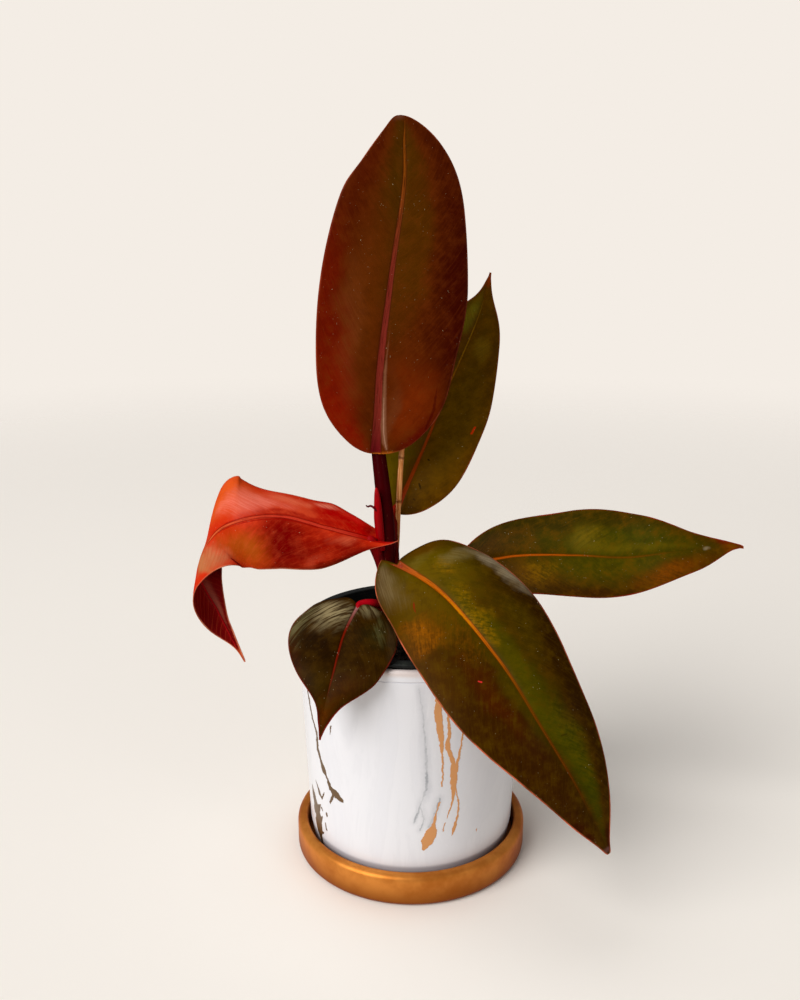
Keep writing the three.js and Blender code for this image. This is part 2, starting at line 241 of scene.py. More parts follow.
def tubeShell(rows, around, steps, ends, groove=None):
    # A round stick along rows of x, y, z and radius. ends: the share of its length over which each end
    # rounds off. groove: the way its hollow side looks, and how deep the hollow is as a share of the radius.
    shell = bmesh.new()
    bmesh.ops.create_grid(shell, x_segments=around, y_segments=steps, size=1)
    side = Vector((1, 0, 0))
    frames = {}
    for station in sorted({round(point.co.y, 5) for point in shell.verts}):
        t = (station + 1) / 2
        row = along(rows, t)
        ahead = along(rows, min(t + meshing["look"], 1)) - along(rows, max(t - meshing["look"], 0))
        ahead = ahead.xyz.normalized()
        side = (side - ahead * side.dot(ahead)).normalized()
        radius = row[3] * endRounding(t, ends[0]) * endRounding(1 - t, ends[1])
        frames[station] = (row.xyz, side.copy(), ahead.cross(side), max(radius, meshing["thinnest"]))
    length = shell.verts.layers.float.new("length")
    for point in shell.verts:
        angle = math.pi * point.co.x
        middle, side, up, radius = frames[round(point.co.y, 5)]
        out = side * math.cos(angle) + up * math.sin(angle)
        if groove:
            facing = max(0, out.dot(Vector(groove[0]).normalized()))
            radius *= 1 - groove[1] * facing ** meshing["hollowing"]
        point[length] = (point.co.y + 1) / 2
        point.co = (middle + out * radius) * mm
    bmesh.ops.remove_doubles(shell, verts=shell.verts, dist=meshing["merge"])
    bmesh.ops.holes_fill(shell, edges=[edge for edge in shell.edges if edge.is_boundary])
    return shell


# Saucer: satin copper-gold lustre glaze, with painted shade that makes it darker low down.
saucer = {
    "radius": 68, "height": 18.5, "wall": 6, "floor": 5, "edge": 3.6, "innerEdge": 1.6, "steps": 160,
    "gold": (208, 132, 58), "deepGold": (172, 98, 34), "shadeUmber": (120, 60, 14), "lowShade": 0.9,
    "metallic": 0.5, "roughness": 0.4, "mottle": (38, 4, 0.6), "grain": (900, 2, 0.5), "relief": 0.1,
}


def makeSaucer():
    size = saucer
    inner = size["radius"] - size["wall"]
    corners = [(0, 0, 0), (size["radius"], 0, size["edge"]), (size["radius"], size["height"], size["edge"]),
               (inner, size["height"], size["innerEdge"]), (inner, size["floor"], size["innerEdge"]),
               (0, size["floor"], 0)]
    paint = Paint("saucerGlaze", Metallic=size["metallic"], Specular_Tint=colour(size["gold"]))
    place = paint.place()
    mottle = paint.cloud(place, *size["mottle"])
    grain = paint.cloud(place, *size["grain"])
    tone = paint.mix(size["gold"], size["deepGold"], paint.step(mottle, 0.35, 0.7))
    # Painted shade: from under the rounded lip down to the floor, the glaze darkens towards a dark umber
    # tone.
    low = paint.step(paint.part(place, 2) * (1 / mm), size["height"] - size["edge"], 0)
    paint.feed("Base Color", paint.mix(tone, size["shadeUmber"], low * size["lowShade"]))
    paint.feed("Roughness", size["roughness"] + (mottle - 0.5) * 0.08 + (grain - 0.5) * 0.05)
    paint.feed("Normal", paint.bump(grain * 0.25 + mottle * 0.3, size["relief"]))
    addPiece("copper_saucer", turnedShell(corners, size["steps"]), paint.material, "saucer")


# Ceramic pot: white glaze with grey marbling and gold splashes. A splash is a line of drops, each with its
# angle from the front in degrees, its height and how far it spreads. The pattern comes twice round the pot,
# from patternStart degrees left of the front. band: how far under the rim the warm band begins and is full.
# line: how far under the rim the fine groove runs, which also gets painted shade. outside: from where, past
# the inner radius, gold may lie.
ceramicPot = {
    "foot": 5.3, "rim": 137.6, "rimRadius": 65, "baseRadius": 59.5, "wall": 4.5, "floor": 6, "edge": 4,
    "lip": 1.8, "steps": 160, "footEdge": 2, "bevel": 1.8, "bevelTop": 20.2, "bevelOut": 0.6,
    "bevelEdge": 0.5,
    "white": (225, 224, 227), "shade": (210, 210, 216), "grey": (124, 128, 134), "gold": (212, 150, 94),
    "bronze": (106, 80, 50), "bandTone": (212, 192, 182), "footShadeTone": (184, 180, 184),
    "band": (4.4, 1.6), "line": 6.2, "footShade": (0.3, -2.4), "outside": (3.2, 3.6), "patternStart": 80,
    "wander": (420, 5, 0.62), "wanderReach": (2.6, 3.4, 0), "marble": (26, 6, 0.62, 1.6),
    "marbleStretch": (1, 1, 0.28), "broken": (90, 3, 0.6), "roughness": 0.24, "metallic": 0.55, "relief": 0.3,
    "splashes": [
        [(12, 121, 1.6), (12, 113, 2.1), (13, 105, 1.9), (14, 96, 1.2), (15, 84, 0.5), (15, 69, 0.4)],
        [(17, 112, 0.5), (18, 101, 0.9), (17, 93, 1.3), (20, 84, 1.1), (21, 78, 2.2), (21, 70, 2),
         (21, 60, 0.7), (18, 49, 0.3)],
        [(25, 100, 0.5), (24, 90, 0.6), (22, 78, 1)],
        [(22, 68, 0.3), (24, 57, 0.5), (24, 49, 0.6), (22, 41, 1.2), (21, 37, 0.2)],
        [(14, 60, 0.4), (12, 52, 0.5), (11, 45, 1.2), (10, 41, 3.2), (8, 36, 3.4), (6, 31, 1.2)],
        [(17, 46, 0.3), (16, 41, 0.4)],
        [(36, 36, 0.4), (36, 35, 0.3)],
    ],
    "cracks": [
        [(-66, 112, 0.5), (-64, 104, 1.3), (-61, 94, 0.9), (-57, 87, 0.9), (-57, 77, 1.4), (-55, 72, 1.1),
         (-52, 66, 2.1), (-50, 63, 1), (-47, 57, 1.3), (-43, 55, 2.7), (-39, 53, 1.2)],
        [(-46, 57, 1.4), (-45.5, 53, 0.9), (-48, 47, 0.5)],
        [(-44, 97, 0.5), (-45, 92, 0.3)],
        [(-62, 54, 0.3), (-58, 48, 1.5), (-56, 46, 0.8), (-53, 51, 0.3)],
        [(-69, 47, 0.5), (-67, 42, 3), (-65, 37, 3.4), (-62, 31, 4.4), (-62, 25, 4.6), (-61, 19, 2.8),
         (-60, 13, 1.2)],
        [(-58, 41, 0.4), (-61, 37, 2.2), (-66, 33, 3)],
        [(-57, 33, 0.6), (-60, 29, 2.2), (-65, 26, 2)],
        [(-56, 24, 0.3), (-60, 21, 1.4)],
        [(-52, 38, 0.9), (-52, 37, 0.7)],
        [(-57, 39, 0.9), (-56, 38, 0.6)],
        [(-54, 31, 0.4), (-53, 27, 0.8)],
    ],
    "veins": [
        [(3, 128, 0.1), (5, 112, 0.15), (6, 96, 0.25), (7, 82, 0.4), (7, 69, 0.35), (4, 58, 0.3),
         (1, 48, 0.7)],
        [(4, 58, 0.2), (6, 50, 0.4), (4, 43, 0.6)],
        [(14, 62, 0.2), (12, 54, 0.5), (9, 45, 0.8)],
    ],
}


def strokeDepth(paint, place, strokes):
    # How far a point lies inside the nearest stroke, in millimetres; less than 0 is outside.
    deepest = None
    for stroke in strokes:
        for drop, after in zip(stroke, stroke[1:]):
            start, first = Vector((*drop[:2], 0)), drop[2]
            end, second = Vector((*after[:2], 0)), after[2]
            run = end - start
            away = paint.arrow("SUBTRACT", place, start)
            reach = paint.arrow("DOT_PRODUCT", away, run, "Value") * (1 / run.length_squared)
            reach = paint.node("ShaderNodeClamp", {}, {0: reach})
            nearest = paint.node("ShaderNodeVectorMath", {"operation": "MULTIPLY_ADD"},
                                 {0: paint.vector(reach, reach, 0), 1: run, 2: start})
            depth = reach * (second - first) + first - paint.arrow("DISTANCE", place, nearest, "Value")
            deepest = depth if deepest is None else paint.maths("MAXIMUM", deepest, depth)
    return deepest


def makeCeramicPot():
    size = ceramicPot
    rim, bevelTop = size["rim"], size["bevelTop"]
    inner = size["baseRadius"] - size["wall"]
    inside = size["foot"] + size["floor"]
    corners = [(0, size["foot"], 0), (size["baseRadius"] - size["bevel"], size["foot"], size["footEdge"]),
               (size["baseRadius"] + size["bevelOut"], bevelTop, size["bevelEdge"]),
               (size["rimRadius"], rim, size["lip"]), (size["rimRadius"] - size["wall"], rim, size["lip"]),
               (inner, inside, size["edge"]), (0, inside, 0)]
    paint = Paint("marbledGlaze")
    place = paint.place()
    east, north, high = (paint.part(place, axis) for axis in range(3))
    height = high * (1 / mm)
    reach = paint.arrow("LENGTH", paint.vector(east, north, 0), (0, 0, 0), "Value") * (1 / mm)
    outside = paint.step(reach, *(inner + past for past in size["outside"]))

    # The wall is unrolled flat, and the strokes are drawn on it.
    radius = (size["rimRadius"] + size["baseRadius"]) / 2
    start = math.radians(size["patternStart"]) * radius
    turn = paint.maths("ARCTAN2", east, north * -1) * radius
    wrapped = paint.maths("FLOORED_MODULO", turn + start, math.pi * radius) - start
    wander = paint.wander(place, size["wander"], size["wanderReach"])
    flat = paint.arrow("ADD", paint.vector(wrapped, height, 0), wander)
    unroll = math.radians(1) * radius
    gold, crack, vein = (
        strokeDepth(paint, flat, [[(angle * unroll, up, spread) for angle, up, spread in stroke]
                                  for stroke in size[strokes]])
        for strokes in ("splashes", "cracks", "veins"))
    metal = paint.step(paint.maths("MAXIMUM", gold, crack), -0.12, 0.12) * outside

    marble = paint.cloud(paint.arrow("MULTIPLY", place, size["marbleStretch"]), *size["marble"])
    smoke = paint.step(abs(marble - 0.5), 0.05, 0) * 0.03
    smoke = smoke + paint.step(vein + (marble - 0.5) * 9, -3.4, 1) * 0.22
    broken = paint.step(paint.cloud(place, *size["broken"]), 0.4, 0.6) * 0.7 + 0.3
    hair = paint.step(vein + (marble - 0.5) * 2.4, -0.3, 0.2) * broken * 0.5
    glaze = paint.mix(size["white"], size["shade"], paint.step(marble, 0.4, 0.8) * 0.5)
    glaze = paint.mix(glaze, size["grey"], smoke + hair)
    band = paint.step(height, *(rim - down for down in size["band"]))
    glaze = paint.mix(glaze, size["bandTone"], band * 0.7)
    # Painted shade in the fine groove under the rim, besides its bump.
    line = paint.step(abs(height - (rim - size["line"])), 0.45, 0.1)
    glaze = paint.mix(glaze, size["shade"], line)
    # Painted shade on the bevelled foot, where the pot turns under towards the saucer: a grey foot tone below
    # bevelTop.
    foot = paint.step(height, *(bevelTop + up for up in size["footShade"]))
    glaze = paint.mix(glaze, size["footShadeTone"], foot)
    metalTone = paint.mix(size["gold"], size["bronze"], paint.step(crack, -0.4, 0))
    paint.feed("Base Color", paint.mix(glaze, metalTone, metal))
    paint.feed("Metallic", metal * size["metallic"])
    paint.feed("Roughness", size["roughness"] + metal * 0.12 + (marble - 0.5) * 0.08)
    paint.feed("Normal", paint.bump(metal * 0.5 + marble * 0.15 - line * 0.6, size["relief"]))
    addPiece("marbled_pot", turnedShell(corners, size["steps"]), paint.material, "ceramic_pot")


# Grower's pot: thin black plastic with a rolled lip, hung in the ceramic pot. dusty: how much dust lies on
# the walls, and how much more on the lip's top, where the extra grey-green is partly a painted highlight of
# the lit lip.
growersPot = {
    "rim": 140.5, "depth": 114, "lipRadius": 62.4, "lipThickness": 2.6, "bodyRadius": 58, "baseRadius": 46,
    "wall": 1.5, "floor": 2, "edge": 3, "innerEdge": 1, "roll": 1.2, "lipFoot": 0.4, "lipInside": 0.6,
    "steps": 128,
    "black": (14, 15, 14), "dust": (50, 55, 48), "dusty": (0.25, 0.3), "gloss": 0.14, "roughness": 0.38,
    "scuff": (160, 4, 0.65), "ribs": 190, "ribWaver": 0.4, "relief": 0.2,
}


def makeGrowersPot():
    size = growersPot
    rim = size["rim"]
    foot = rim - size["depth"]
    under = rim - size["lipThickness"]
    corners = [(0, foot, 0), (size["baseRadius"], foot, size["edge"]),
               (size["bodyRadius"], under, size["lipFoot"]), (size["lipRadius"], under, size["roll"]),
               (size["lipRadius"], rim, size["roll"]),
               (size["bodyRadius"] - size["wall"], rim, size["lipInside"]),
               (size["baseRadius"] - size["wall"], foot + size["floor"], size["innerEdge"]),
               (0, foot + size["floor"], 0)]
    paint = Paint("blackPlastic", Specular_IOR_Level=size["gloss"])
    place = paint.place()
    scuff = paint.cloud(place, *size["scuff"])
    # The lip's top gets more of the grey-green tone: partly dust, partly a painted highlight where light
    # catches the lip.
    lipTopDustAndSheen = paint.step(paint.part(place, 2) * (1 / mm), rim - 0.9, rim - 0.1)
    dusty = paint.step(scuff, 0.45, 0.75) * (size["dusty"][0] + lipTopDustAndSheen * size["dusty"][1])
    ribs = paint.node("ShaderNodeTexWave", {"bands_direction": "Z"},
                      {"Vector": place, "Scale": size["ribs"], "Distortion": size["ribWaver"]})
    paint.feed("Base Color", paint.mix(size["black"], size["dust"], dusty))
    paint.feed("Roughness", size["roughness"] + scuff * 0.2)
    paint.feed("Normal", paint.bump(scuff + ribs * 0.2, size["relief"]))
    shell = turnedShell(corners, size["steps"])
    addPiece("growers_pot", shell, paint.material, "nursery_pot")


# Potting mix: a low crumbly mound with bits of bark, fibre and a few pale grains on it. crumb: its length,
# then its width and height as shares of that. lumps and dents: scale and height of the uneven surface.
pottingMix = {
    "edgeRadius": 54.8, "edgeTop": 129.5, "middleTop": 134, "bottom": 29, "bottomRadius": 44, "rings": 46,
    "steps": 120, "swell": 1.6, "lumps": (130, 1.1), "dents": (900, 0.25), "crumbs": 620, "crumbsFromEdge": 2,
    "crumb": ((0.7, 2.4), (0.3, 0.8), (0.2, 0.5)), "crumbLift": 0.3, "plainTint": 0.2, "roughness": 0.95,
    "dark": (30, 22, 16), "brown": (74, 50, 32), "bark": (104, 66, 38), "grain": (190, 180, 160),
    "grit": (420, 5, 0.7), "relief": 1.2,
}


def moundHeight(radius):
    size = pottingMix
    share = min(radius / size["edgeRadius"], 1)
    return size["middleTop"] + (size["edgeTop"] - size["middleTop"]) * share ** size["swell"]


def addCrumb(shell, tint):
    size = pottingMix
    radius = (size["edgeRadius"] - size["crumbsFromEdge"]) * math.sqrt(chance.random())
    angle = chance.uniform(0, math.tau)
    made = bmesh.ops.create_icosphere(shell, subdivisions=1, radius=1)["verts"]
    longest, wide, tall = size["crumb"]
    length = chance.uniform(*longest)
    shape = Vector((length, length * chance.uniform(*wide), length * chance.uniform(*tall))) * mm
    bmesh.ops.scale(shell, vec=shape, verts=made)
    turn = noise.random_unit_vector().to_track_quat("Z", "Y").to_matrix()
    bmesh.ops.rotate(shell, cent=(0, 0, 0), matrix=turn, verts=made)
    high = moundHeight(radius) + size["crumbLift"]
    spot = Vector((radius * math.cos(angle), radius * math.sin(angle), high)) * mm
    bmesh.ops.translate(shell, vec=spot, verts=made)
    shade = chance.random()
    dentScale, dent = size["dents"]
    for point in made:
        point.co += noise.noise_vector(point.co * dentScale) * dent * mm
        point[tint] = shade


def makePottingMix():
    size = pottingMix
    reach = [size["edgeRadius"] * i / size["rings"] for i in range(size["rings"] + 1)]
    spots = [(radius, moundHeight(radius)) for radius in reach]
    shell, _ = profileShell(spots + [(size["bottomRadius"], size["bottom"]), (0, size["bottom"])])
    spinShell(shell, size["steps"])
    lumpScale, lump = size["lumps"]
    for point in shell.verts:
        if point.co.z > (size["edgeTop"] - 1) * mm:
            point.co.z += noise.fractal(point.co * lumpScale, 1.0, 2.1, 5) * lump * mm
    tint = shell.verts.layers.float.new("tint")
    for point in shell.verts:
        point[tint] = size["plainTint"]
    for _ in range(size["crumbs"]):
        addCrumb(shell, tint)
    paint = Paint("pottingMix", Roughness=size["roughness"])
    shade = paint.attribute("tint")
    grit = paint.cloud(paint.place(), *size["grit"])
    tone = paint.mix(size["dark"], size["brown"], paint.step(grit, 0.42, 0.72))
    tone = paint.mix(tone, size["bark"], paint.step(shade, 0.55, 0.9) * 0.8)
    tone = paint.mix(tone, size["grain"], paint.step(shade, 0.965, 0.97))
    paint.feed("Base Color", tone)
    paint.feed("Normal", paint.bump(grit, size["relief"]))
    addPiece("potting_mix", shell, paint.material, "soil")


# Split-bamboo stake between the stalks, with a joint now and then. uneven, sway: how much its thickness and
# its line vary, and how fast. mesh: what tubeShell takes.
bambooStake = {
    "foot": (-13.2, 8.6, 88), "top": (-3.4, 10.6, 282), "radius": 1.5, "uneven": (0.1, 40), "sway": (0.3, 9),
    "joints": (0.09, 0.35, 0.62, 0.75, 0.93), "jointLength": 0.006, "swelling": 0.22, "rows": 60,
    "mesh": (16, 400, (0, 0.002), ((0.4, 1, 0), 0.35)),
    "tan": (206, 122, 60), "pale": (246, 184, 120), "brown": (104, 44, 12), "gloss": 0.08, "roughness": 0.55,
    "fibre": (1500, 3, 0.6), "fibreStretch": (1, 1, 0.04), "fleck": (420, 3, 0.6),
    "fleckStretch": (1, 1, 0.35), "relief": 0.3,
}


def makeStake():
    size = bambooStake
    foot, top = Vector(size["foot"]), Vector(size["top"])
    uneven, waves = size["uneven"]
    sway, swayScale = size["sway"]
    rows = []
    for i in range(size["rows"] + 1):
        share = i / size["rows"]
        swelling = sum(math.exp(-(((share - joint) / size["jointLength"]) ** 2)) for joint in size["joints"])
        spot = foot.lerp(top, share) + noise.noise_vector(Vector((share * swayScale, 3, 1))) * sway
        radius = size["radius"] + swelling * size["swelling"] + uneven * math.sin(share * waves)
        rows.append((*spot, radius))
    shell = tubeShell(rows, *size["mesh"])
    paint = Paint("bamboo", Roughness=size["roughness"], Specular_IOR_Level=size["gloss"])
    place = paint.place()
    fibre = paint.cloud(paint.arrow("MULTIPLY", place, size["fibreStretch"]), *size["fibre"])
    fleck = paint.cloud(paint.arrow("MULTIPLY", place, size["fleckStretch"]), *size["fleck"])
    length = paint.attribute("length")
    ring = 0
    for joint in size["joints"]:
        away = abs(length - joint + (fleck - 0.5) * 0.012)
        ring = paint.maths("MAXIMUM", ring, paint.step(away, size["jointLength"], 0.001))
    tone = paint.mix(size["tan"], size["pale"], paint.step(fibre, 0.4, 0.7))
    tone = paint.mix(tone, size["brown"], paint.step(fleck, 0.6, 0.72) * 0.75)
    tone = paint.mix(tone, size["brown"], ring * 0.7)
    paint.feed("Base Color", tone)
    paint.feed("Normal", paint.bump(fibre - ring, size["relief"]))
    addPiece("stake", shell, paint.material, "bamboo_stake")


# Leaves. Every list runs from base to tip in even steps, and a width list may have more steps than another.
# rib: the midrib. faces: where the upper side looks. left, right: half widths with the tip up. lift: degrees
# that each half rises from the midrib. bend: degrees that it then curves down. lobe: how far each half
# reaches back past the stalk, and lobeRise how far it rises there. ribDrift: how far the midrib strays
# sideways. channel: how deep and how wide the hollow along it is. stalk: x, y, z and radius from the main
# stem up. seat: how far behind and under the midrib's foot the stalk arrives, and its radius there.
# stalkTones: at its foot and at the blade. upper, under, margin, vein, dark: the blade's own tones.
# midrib: its tones at the foot, along it, at the tip and at its edge, the edge tone also painting shade in a
# line along each side; half its width, and what the foot adds; turn, over which the tip's tone comes in;
# where it ends; how it tapers; how strong that painted shade line is.
# slant: how far side veins climb at the midrib, and how much more at the margin. spacing: between them.
# crumple: scale, scale across, height, and how far it breaks up the sheen. mottle: how strong its dark and
# its pale parts are, and how far it frays the patches. rimShow: how strong the margin's tone is.
# patches, underPatches, spots (broken into flecks) and sheen (painted highlights): across (-1 to 1), along (0
# to 1), how
# wide, how long, tone and strength. marks: a line of places with its half width in mm, how soft and how
# frayed its edge is, tone and strength; some marks are painted highlights or painted shade, as noted at each
# leaf.
#
# For all leaves: across, down: points over the blade, crowded towards the midrib. thickness: in the middle,
# at the margin, and how far from the margin the first begins. wave: the margin's height and waves.
leafAll = {
    "across": 60, "down": 160, "crowding": 1.25, "thickness": (0.7, 0.4, 4), "wave": (0.5, 3),
    "lobeEnd": 0.45, "look": 0.001, "spotSteps": 60, "coat": 0.03, "dust": (206, 190, 150),
    "wander": (45, 4), "wanderReach": (0.55, 0.16, 0), "cloudy": (60, 4, 0.6), "mottle": (170, 5, 0.62),
    "speckle": (520, 4, 0.66), "streaks": (1.1, 4, 0.65), "flecks": (0.42, 6, 0.72), "sway": (90, 2),
    "fibre": (1.8, 3), "dustSize": (1300, 1), "dustPlace": (120, 1),
}

leafUpright = {
    "node": "leaf_upright", "slot": "leaf_bronze",
    "rib": [(-19, 2, 237.4), (-17.7, 5, 283), (-11.4, 10, 329.3), (-3.4, 15, 381), (-7.2, 19, 414.2)],
    "faces": [(0, -1, 0.15), (0.05, -1, 0.1), (0.1, -1, 0.1)],
    "left": [2, 16.9, 30.3, 35.6, 37.6, 33.8, 21.8, 8, 0.5],
    "right": [2, 20.5, 35.6, 40.6, 41.9, 32.8, 20.4, 10.2, 0.5],
    "lift": [(8, 8), (6, 6), (4, 4)],
    "bend": [(10, 10), (10, 10)],
    "lobe": (0, 0),
    "ribDrift": (-1, -0.8, 0.2, 0.3, -0.2, -1, 0, 2.6, 3),
    "channel": (0.9, 2.6),
    "stalk": [(-13, -1, 142, 4.8), (-14.5, -0.5, 170, 5), (-13.7, 0, 190, 4.6), (-15.7, 1.5, 214, 4.4)],
    "seat": (-3, 5.8, 3.7),
    "stalkTones": ((74, 4, 6), (54, 0, 3)),
    "upper": (82, 30, 1), "under": (128, 40, 20), "margin": (157, 70, 44),
    "vein": (113, 50, 12), "dark": (40, 6, 0), "roughness": 0.36,
    "midrib": {"foot": (98, 14, 20), "tone": (120, 38, 28), "tip": (131, 65, 10),
               "edge": (52, 5, 0), "wide": 3, "flare": 0.3, "turn": (0.5, 0.7), "end": 0.86, "taper": 1.15,
               "line": 0.5},
    "slant": (0.75, 0.6), "spacing": 7, "crumple": (0.8, 0.12, 0.08, 0.4),
    "mottle": (0.16, 0.14, 0.6), "rimShow": 0.7,
    "patches": [
        (-0.05, 0.72, 0.45, 0.28, (71, 42, 0), 0.9), (0.2, 0.58, 0.3, 0.2, (80, 42, 0), 0.8),
        (-0.35, 0.46, 0.35, 0.2, (93, 40, 2), 0.8), (-0.8, 0.2, 0.5, 0.24, (123, 18, 0), 0.9),
        (-0.95, 0.45, 0.3, 0.18, (101, 14, 0), 0.85), (-0.85, 0.72, 0.3, 0.16, (75, 18, 0), 0.8),
        (0.98, 0.5, 0.5, 0.3, (55, 5, 0), 0.95), (0.8, 0.78, 0.3, 0.12, (69, 18, 0), 0.7),
        (0.5, 0.24, 0.42, 0.14, (114, 37, 2), 0.85), (0.95, 0.14, 0.3, 0.1, (88, 4, 0), 0.85),
        # The tip patch (104, 64, 48) on the next line is a painted sheen.
        (0.2, 0.2, 0.13, 0.13, (109, 65, 34), 0.3), (0, 0.94, 0.8, 0.05, (104, 64, 48), 0.6),
        (0, -0.01, 6, 0.05, (199, 105, 28), 1),
    ],
    "sheen": [
        (-0.5, 0.4, 0.26, 0.16, (146, 76, 40), 0.16),
    ],
    "marks": [
        # The first two marks are painted highlights: a soft pale band and a thin pale line beside the midrib.
        ([(0.08, 0.44, -1.2), (0.085, 0.33, 0.1), (0.11, 0.19, 0.9), (0.2, 0.12, 0.8), (0.36, 0.08, 0.2)],
         1.2, 0.3, (132, 88, 62), 0.6),
        ([(0.09, 0.27, -0.1), (0.095, 0.23, 0.1), (0.13, 0.165, 0.1), (0.21, 0.12, 0.1), (0.38, 0.075, -0.1)],
         0.5, 0.25, (186, 146, 122), 0.5),
        ([(0.82, 0.32, -0.3), (0.88, 0.24, 0.6), (0.94, 0.18, 0.3)], 0.6, 1, (60, 0, 0), 0.6),
    ],
}

leafBack = {
    "node": "leaf_back", "slot": "leaf_olive",
    "rib": [(-6.8, 17, 205.5), (8.6, 29, 237.6), (21.5, 42, 268), (38.5, 53, 307), (46.6, 63, 333)],
    "faces": [(0, -1, 0.5), (0.1, -1, 0.45), (0.3, -1, 0.3)],
    "left": [2, 12.1, 21.7, 26.1, 25.8, 18.6, 5.2, 1, 0.5],
    "right": [3.8, 16.2, 25.7, 28.1, 27.4, 18, 6.1, 1.6, 0.5],
    "lift": [(14, 14), (12, 12)],
    "bend": [(16, 16), (16, 16)],
    "lobe": (4, 6),
    "ribDrift": (0, 0, -0.3, 0, 0.3, 0, 0),
    "channel": (0.7, 2.2),
    "stalk": [(-11, -1, 145, 3.8), (-9.8, 0.5, 163, 3.2), (-10, 1.6, 178, 3.1), (-10.6, 4.2, 190, 2.8),
              (-9.8, 13.5, 200, 2.5)],
    "seat": (-2.5, 4.8, 2.4),
    "stalkTones": ((70, 6, 6), (130, 24, 6)),
    "upper": (85, 49, 0), "under": (143, 103, 26), "margin": (159, 67, 34),
    "vein": (114, 79, 0), "dark": (52, 28, 0), "roughness": 0.4,
    "midrib": {"foot": (143, 39, 8), "tone": (152, 55, 2), "tip": (143, 103, 10),
               "edge": (79, 41, 0), "wide": 1.6, "flare": 0.7, "turn": (0.42, 0.6), "end": 0.7, "taper": 1.4,
               "line": 0.4},
    "slant": (0.75, 0.6), "spacing": 6, "crumple": (0.8, 0.12, 0.08, 0.4),
    "mottle": (0.3, 0.24, 1), "rimShow": 0.8,
    "patches": [
        (0.4, 0.45, 0.6, 0.35, (91, 64, 0), 0.8), (-0.7, 0.25, 0.5, 0.3, (109, 93, 4), 0.85),
        (-0.5, 0.7, 0.5, 0.09, (102, 86, 4), 0.7), (0.7, 0.1, 0.4, 0.12, (68, 41, 0), 0.7),
        (0.2, 0.2, 0.3, 0.15, (98, 64, 0), 0.6), (0.9, 0.6, 0.2, 0.2, (70, 43, 0), 0.6),
        (0.2, 0.87, 0.9, 0.06, (143, 38, 0), 0.85), (0, 0.96, 1.4, 0.06, (128, 49, 24), 0.8),
    ],
    "sheen": [(0.45, 0.6, 0.3, 0.04, (134, 106, 20), 0.4), (-0.4, 0.66, 0.3, 0.05, (130, 124, 24), 0.4)],
    "marks": [
        ([(0.81, 0.425, 0.3), (0.79, 0.405, 0.5)], 0.5, 0.5, (202, 41, 0), 0.8),
        ([(0.19, 0.29, 0.4), (0.22, 0.289, 0.2)], 0.3, 0.3, (26, 18, 0), 0.9),
        ([(0.27, 0.2, 0.3), (0.37, 0.185, 0.6)], 0.4, 0.6, (32, 21, 0), 0.8),
        ([(0.45, 0.117, 0.3), (0.52, 0.113, 0.3)], 0.4, 0.4, (48, 28, 0), 0.8),
    ],
}

